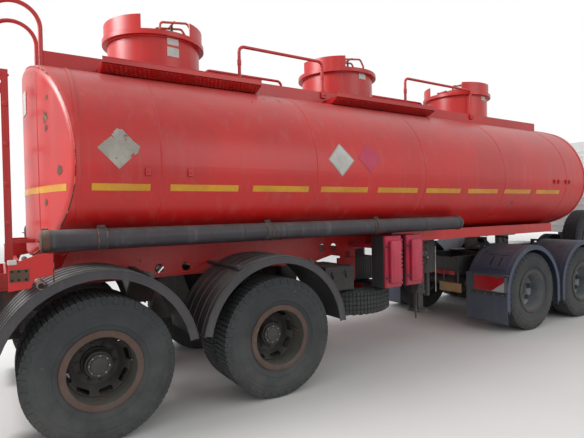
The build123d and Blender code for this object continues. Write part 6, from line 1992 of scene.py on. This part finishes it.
class LORRY_OT_studio(bpy.types.Operator):
    """Add the pale floor, the soft lamps, the white surroundings and the camera"""

    bl_idname = "lorry.studio"
    bl_label = "Set up the studio"

    def execute(self, context):
        studio = context.scene.lorry_studio
        free()
        bpy.ops.mesh.primitive_grid_add(x_subdivisions=2, y_subdivisions=2, size=160, location=(0, 0, 0))
        floor = bpy.context.active_object
        floor.name = "studio_floor"
        material, wires = bare_material("studio_floor")
        where = wires.where()
        tint = wires.stretch(wires.noise(where, 0.7, 6.0), 0.2, 0.8)
        pale = tuple(studio.floor)
        shade = wires.mix(tint, pale, tuple(0.95 * c for c in pale))
        distance = wires.add("ShaderNodeVectorMath", {0: where}, operation="LENGTH").outputs["Value"]
        far = wires.stretch(distance, 9.0, 34.0)
        matt = wires.add("ShaderNodeBsdfPrincipled", {"Base Color": shade, "Roughness": 0.9})
        bright = wires.add("ShaderNodeEmission", {"Color": (1.0, 1.0, 1.0), "Strength": 1.0})
        seen = wires.maths("MAXIMUM", wires.add("ShaderNodeLightPath").outputs["Is Camera Ray"], 0.0)
        share = wires.maths("MULTIPLY", far, seen)
        blend = wires.add("ShaderNodeMixShader", {0: share, 1: matt.outputs[0], 2: bright.outputs[0]})
        wires.add("ShaderNodeOutputMaterial", {"Surface": blend.outputs[0]})
        floor.data.materials.append(material)

        world = bpy.data.worlds.new("studio")
        context.scene.world = world
        world.use_nodes = True
        world.node_tree.nodes.clear()
        wires = Nodes(world.node_tree)
        path = wires.add("ShaderNodeLightPath")
        seen = wires.maths("MAXIMUM", path.outputs["Is Camera Ray"], path.outputs["Is Glossy Ray"])
        seen = wires.maths("MAXIMUM", seen, path.outputs["Is Transmission Ray"])
        strength = wires.stretch(seen, 0.0, 1.0, studio.sky, 1.0, False)
        sky = wires.add("ShaderNodeBackground", {"Color": (1.0, 1.0, 1.0), "Strength": strength})
        wires.add("ShaderNodeOutputWorld", {"Surface": sky.outputs[0]})

        for name, place, aim, size, strength in (
            ("key", (-16, 2.5, 10), (-2, 0, 1), 7, studio.key),
            ("fill", (3, -14, 7), (0, 0, 1), 9, 0.15 * studio.key),
        ):
            lamp = bpy.data.lights.new(name, "AREA")
            lamp.shape, lamp.size, lamp.energy = "DISK", size, strength * 900
            lamp_object = bpy.data.objects.new(name, lamp)
            lamp_object.location = place
            lamp_object.rotation_euler = (Vector(aim) - Vector(place)).to_track_quat("-Z", "Y").to_euler()
            context.scene.collection.objects.link(lamp_object)
        context.scene.view_settings.view_transform = "Standard"

        forward = Vector(
            (sin(CAMERA_YAW) * cos(CAMERA_PITCH), cos(CAMERA_YAW) * cos(CAMERA_PITCH), sin(CAMERA_PITCH))
        )
        level = Vector((cos(CAMERA_YAW), -sin(CAMERA_YAW), 0))
        upright = level.cross(forward)
        right = level * cos(CAMERA_ROLL) + upright * sin(CAMERA_ROLL)
        up = upright * cos(CAMERA_ROLL) - level * sin(CAMERA_ROLL)
        camera = bpy.data.cameras.new("camera")
        camera.sensor_width, camera.lens = 36, studio.lens * 1000
        camera.clip_end = 300
        view = bpy.data.objects.new("camera", camera)
        turn = Matrix((right, up, -forward)).transposed().to_4x4()
        view.matrix_world = Matrix.Translation(CAMERA_PLACE) @ turn
        context.scene.collection.objects.link(view)
        context.scene.camera = view
        return {"FINISHED"}


OPERATORS = (
    LORRY_OT_finish_solids,
    LORRY_OT_tyres,
    LORRY_OT_rims,
    LORRY_OT_tank_marks,
    LORRY_OT_hatches,
    LORRY_OT_walkway,
    LORRY_OT_hose_cases,
    LORRY_OT_trailer_rear,
    LORRY_OT_fenders,
    LORRY_OT_side_boxes,
    LORRY_OT_landing_legs,
    LORRY_OT_undercarriage,
    LORRY_OT_tractor_rear,
    LORRY_OT_cab_outside,
    LORRY_OT_front_lamps,
    LORRY_OT_cab_inside,
    LORRY_OT_studio,
)


class LORRY_PT_panel(bpy.types.Panel):
    """Lists the steps that dress the lorry and the values that they use"""

    bl_label = "Tank Lorry"
    bl_idname = "LORRY_PT_panel"
    bl_space_type = "VIEW_3D"
    bl_region_type = "UI"
    bl_category = "Tank Lorry"

    def draw(self, context):
        for settings in (context.scene.lorry_paint, context.scene.lorry_details, context.scene.lorry_studio):
            box = self.layout.box()
            for name in settings.__annotations__:
                box.prop(settings, name)
        for step in OPERATORS:
            self.layout.operator(step.bl_idname)


CLASSES = (LorryPaint, LorryDetails, LorryStudio, *OPERATORS, LORRY_PT_panel)


def register():
    for kind in CLASSES:
        bpy.utils.register_class(kind)
    bpy.types.Scene.lorry_paint = bpy.props.PointerProperty(type=LorryPaint)
    bpy.types.Scene.lorry_details = bpy.props.PointerProperty(type=LorryDetails)
    bpy.types.Scene.lorry_studio = bpy.props.PointerProperty(type=LorryStudio)


def unregister():
    del bpy.types.Scene.lorry_paint, bpy.types.Scene.lorry_details, bpy.types.Scene.lorry_studio
    for kind in reversed(CLASSES):
        bpy.utils.unregister_class(kind)


def main():
    register()
    for step in OPERATORS:
        group, name = step.bl_idname.split(".")
        result = getattr(getattr(bpy.ops, group), name)()
        if result != {"FINISHED"}:
            raise RuntimeError(f"{step.bl_label} did not finish")
    bpy.context.view_layer.update()


if __name__ == "__main__":
    main()
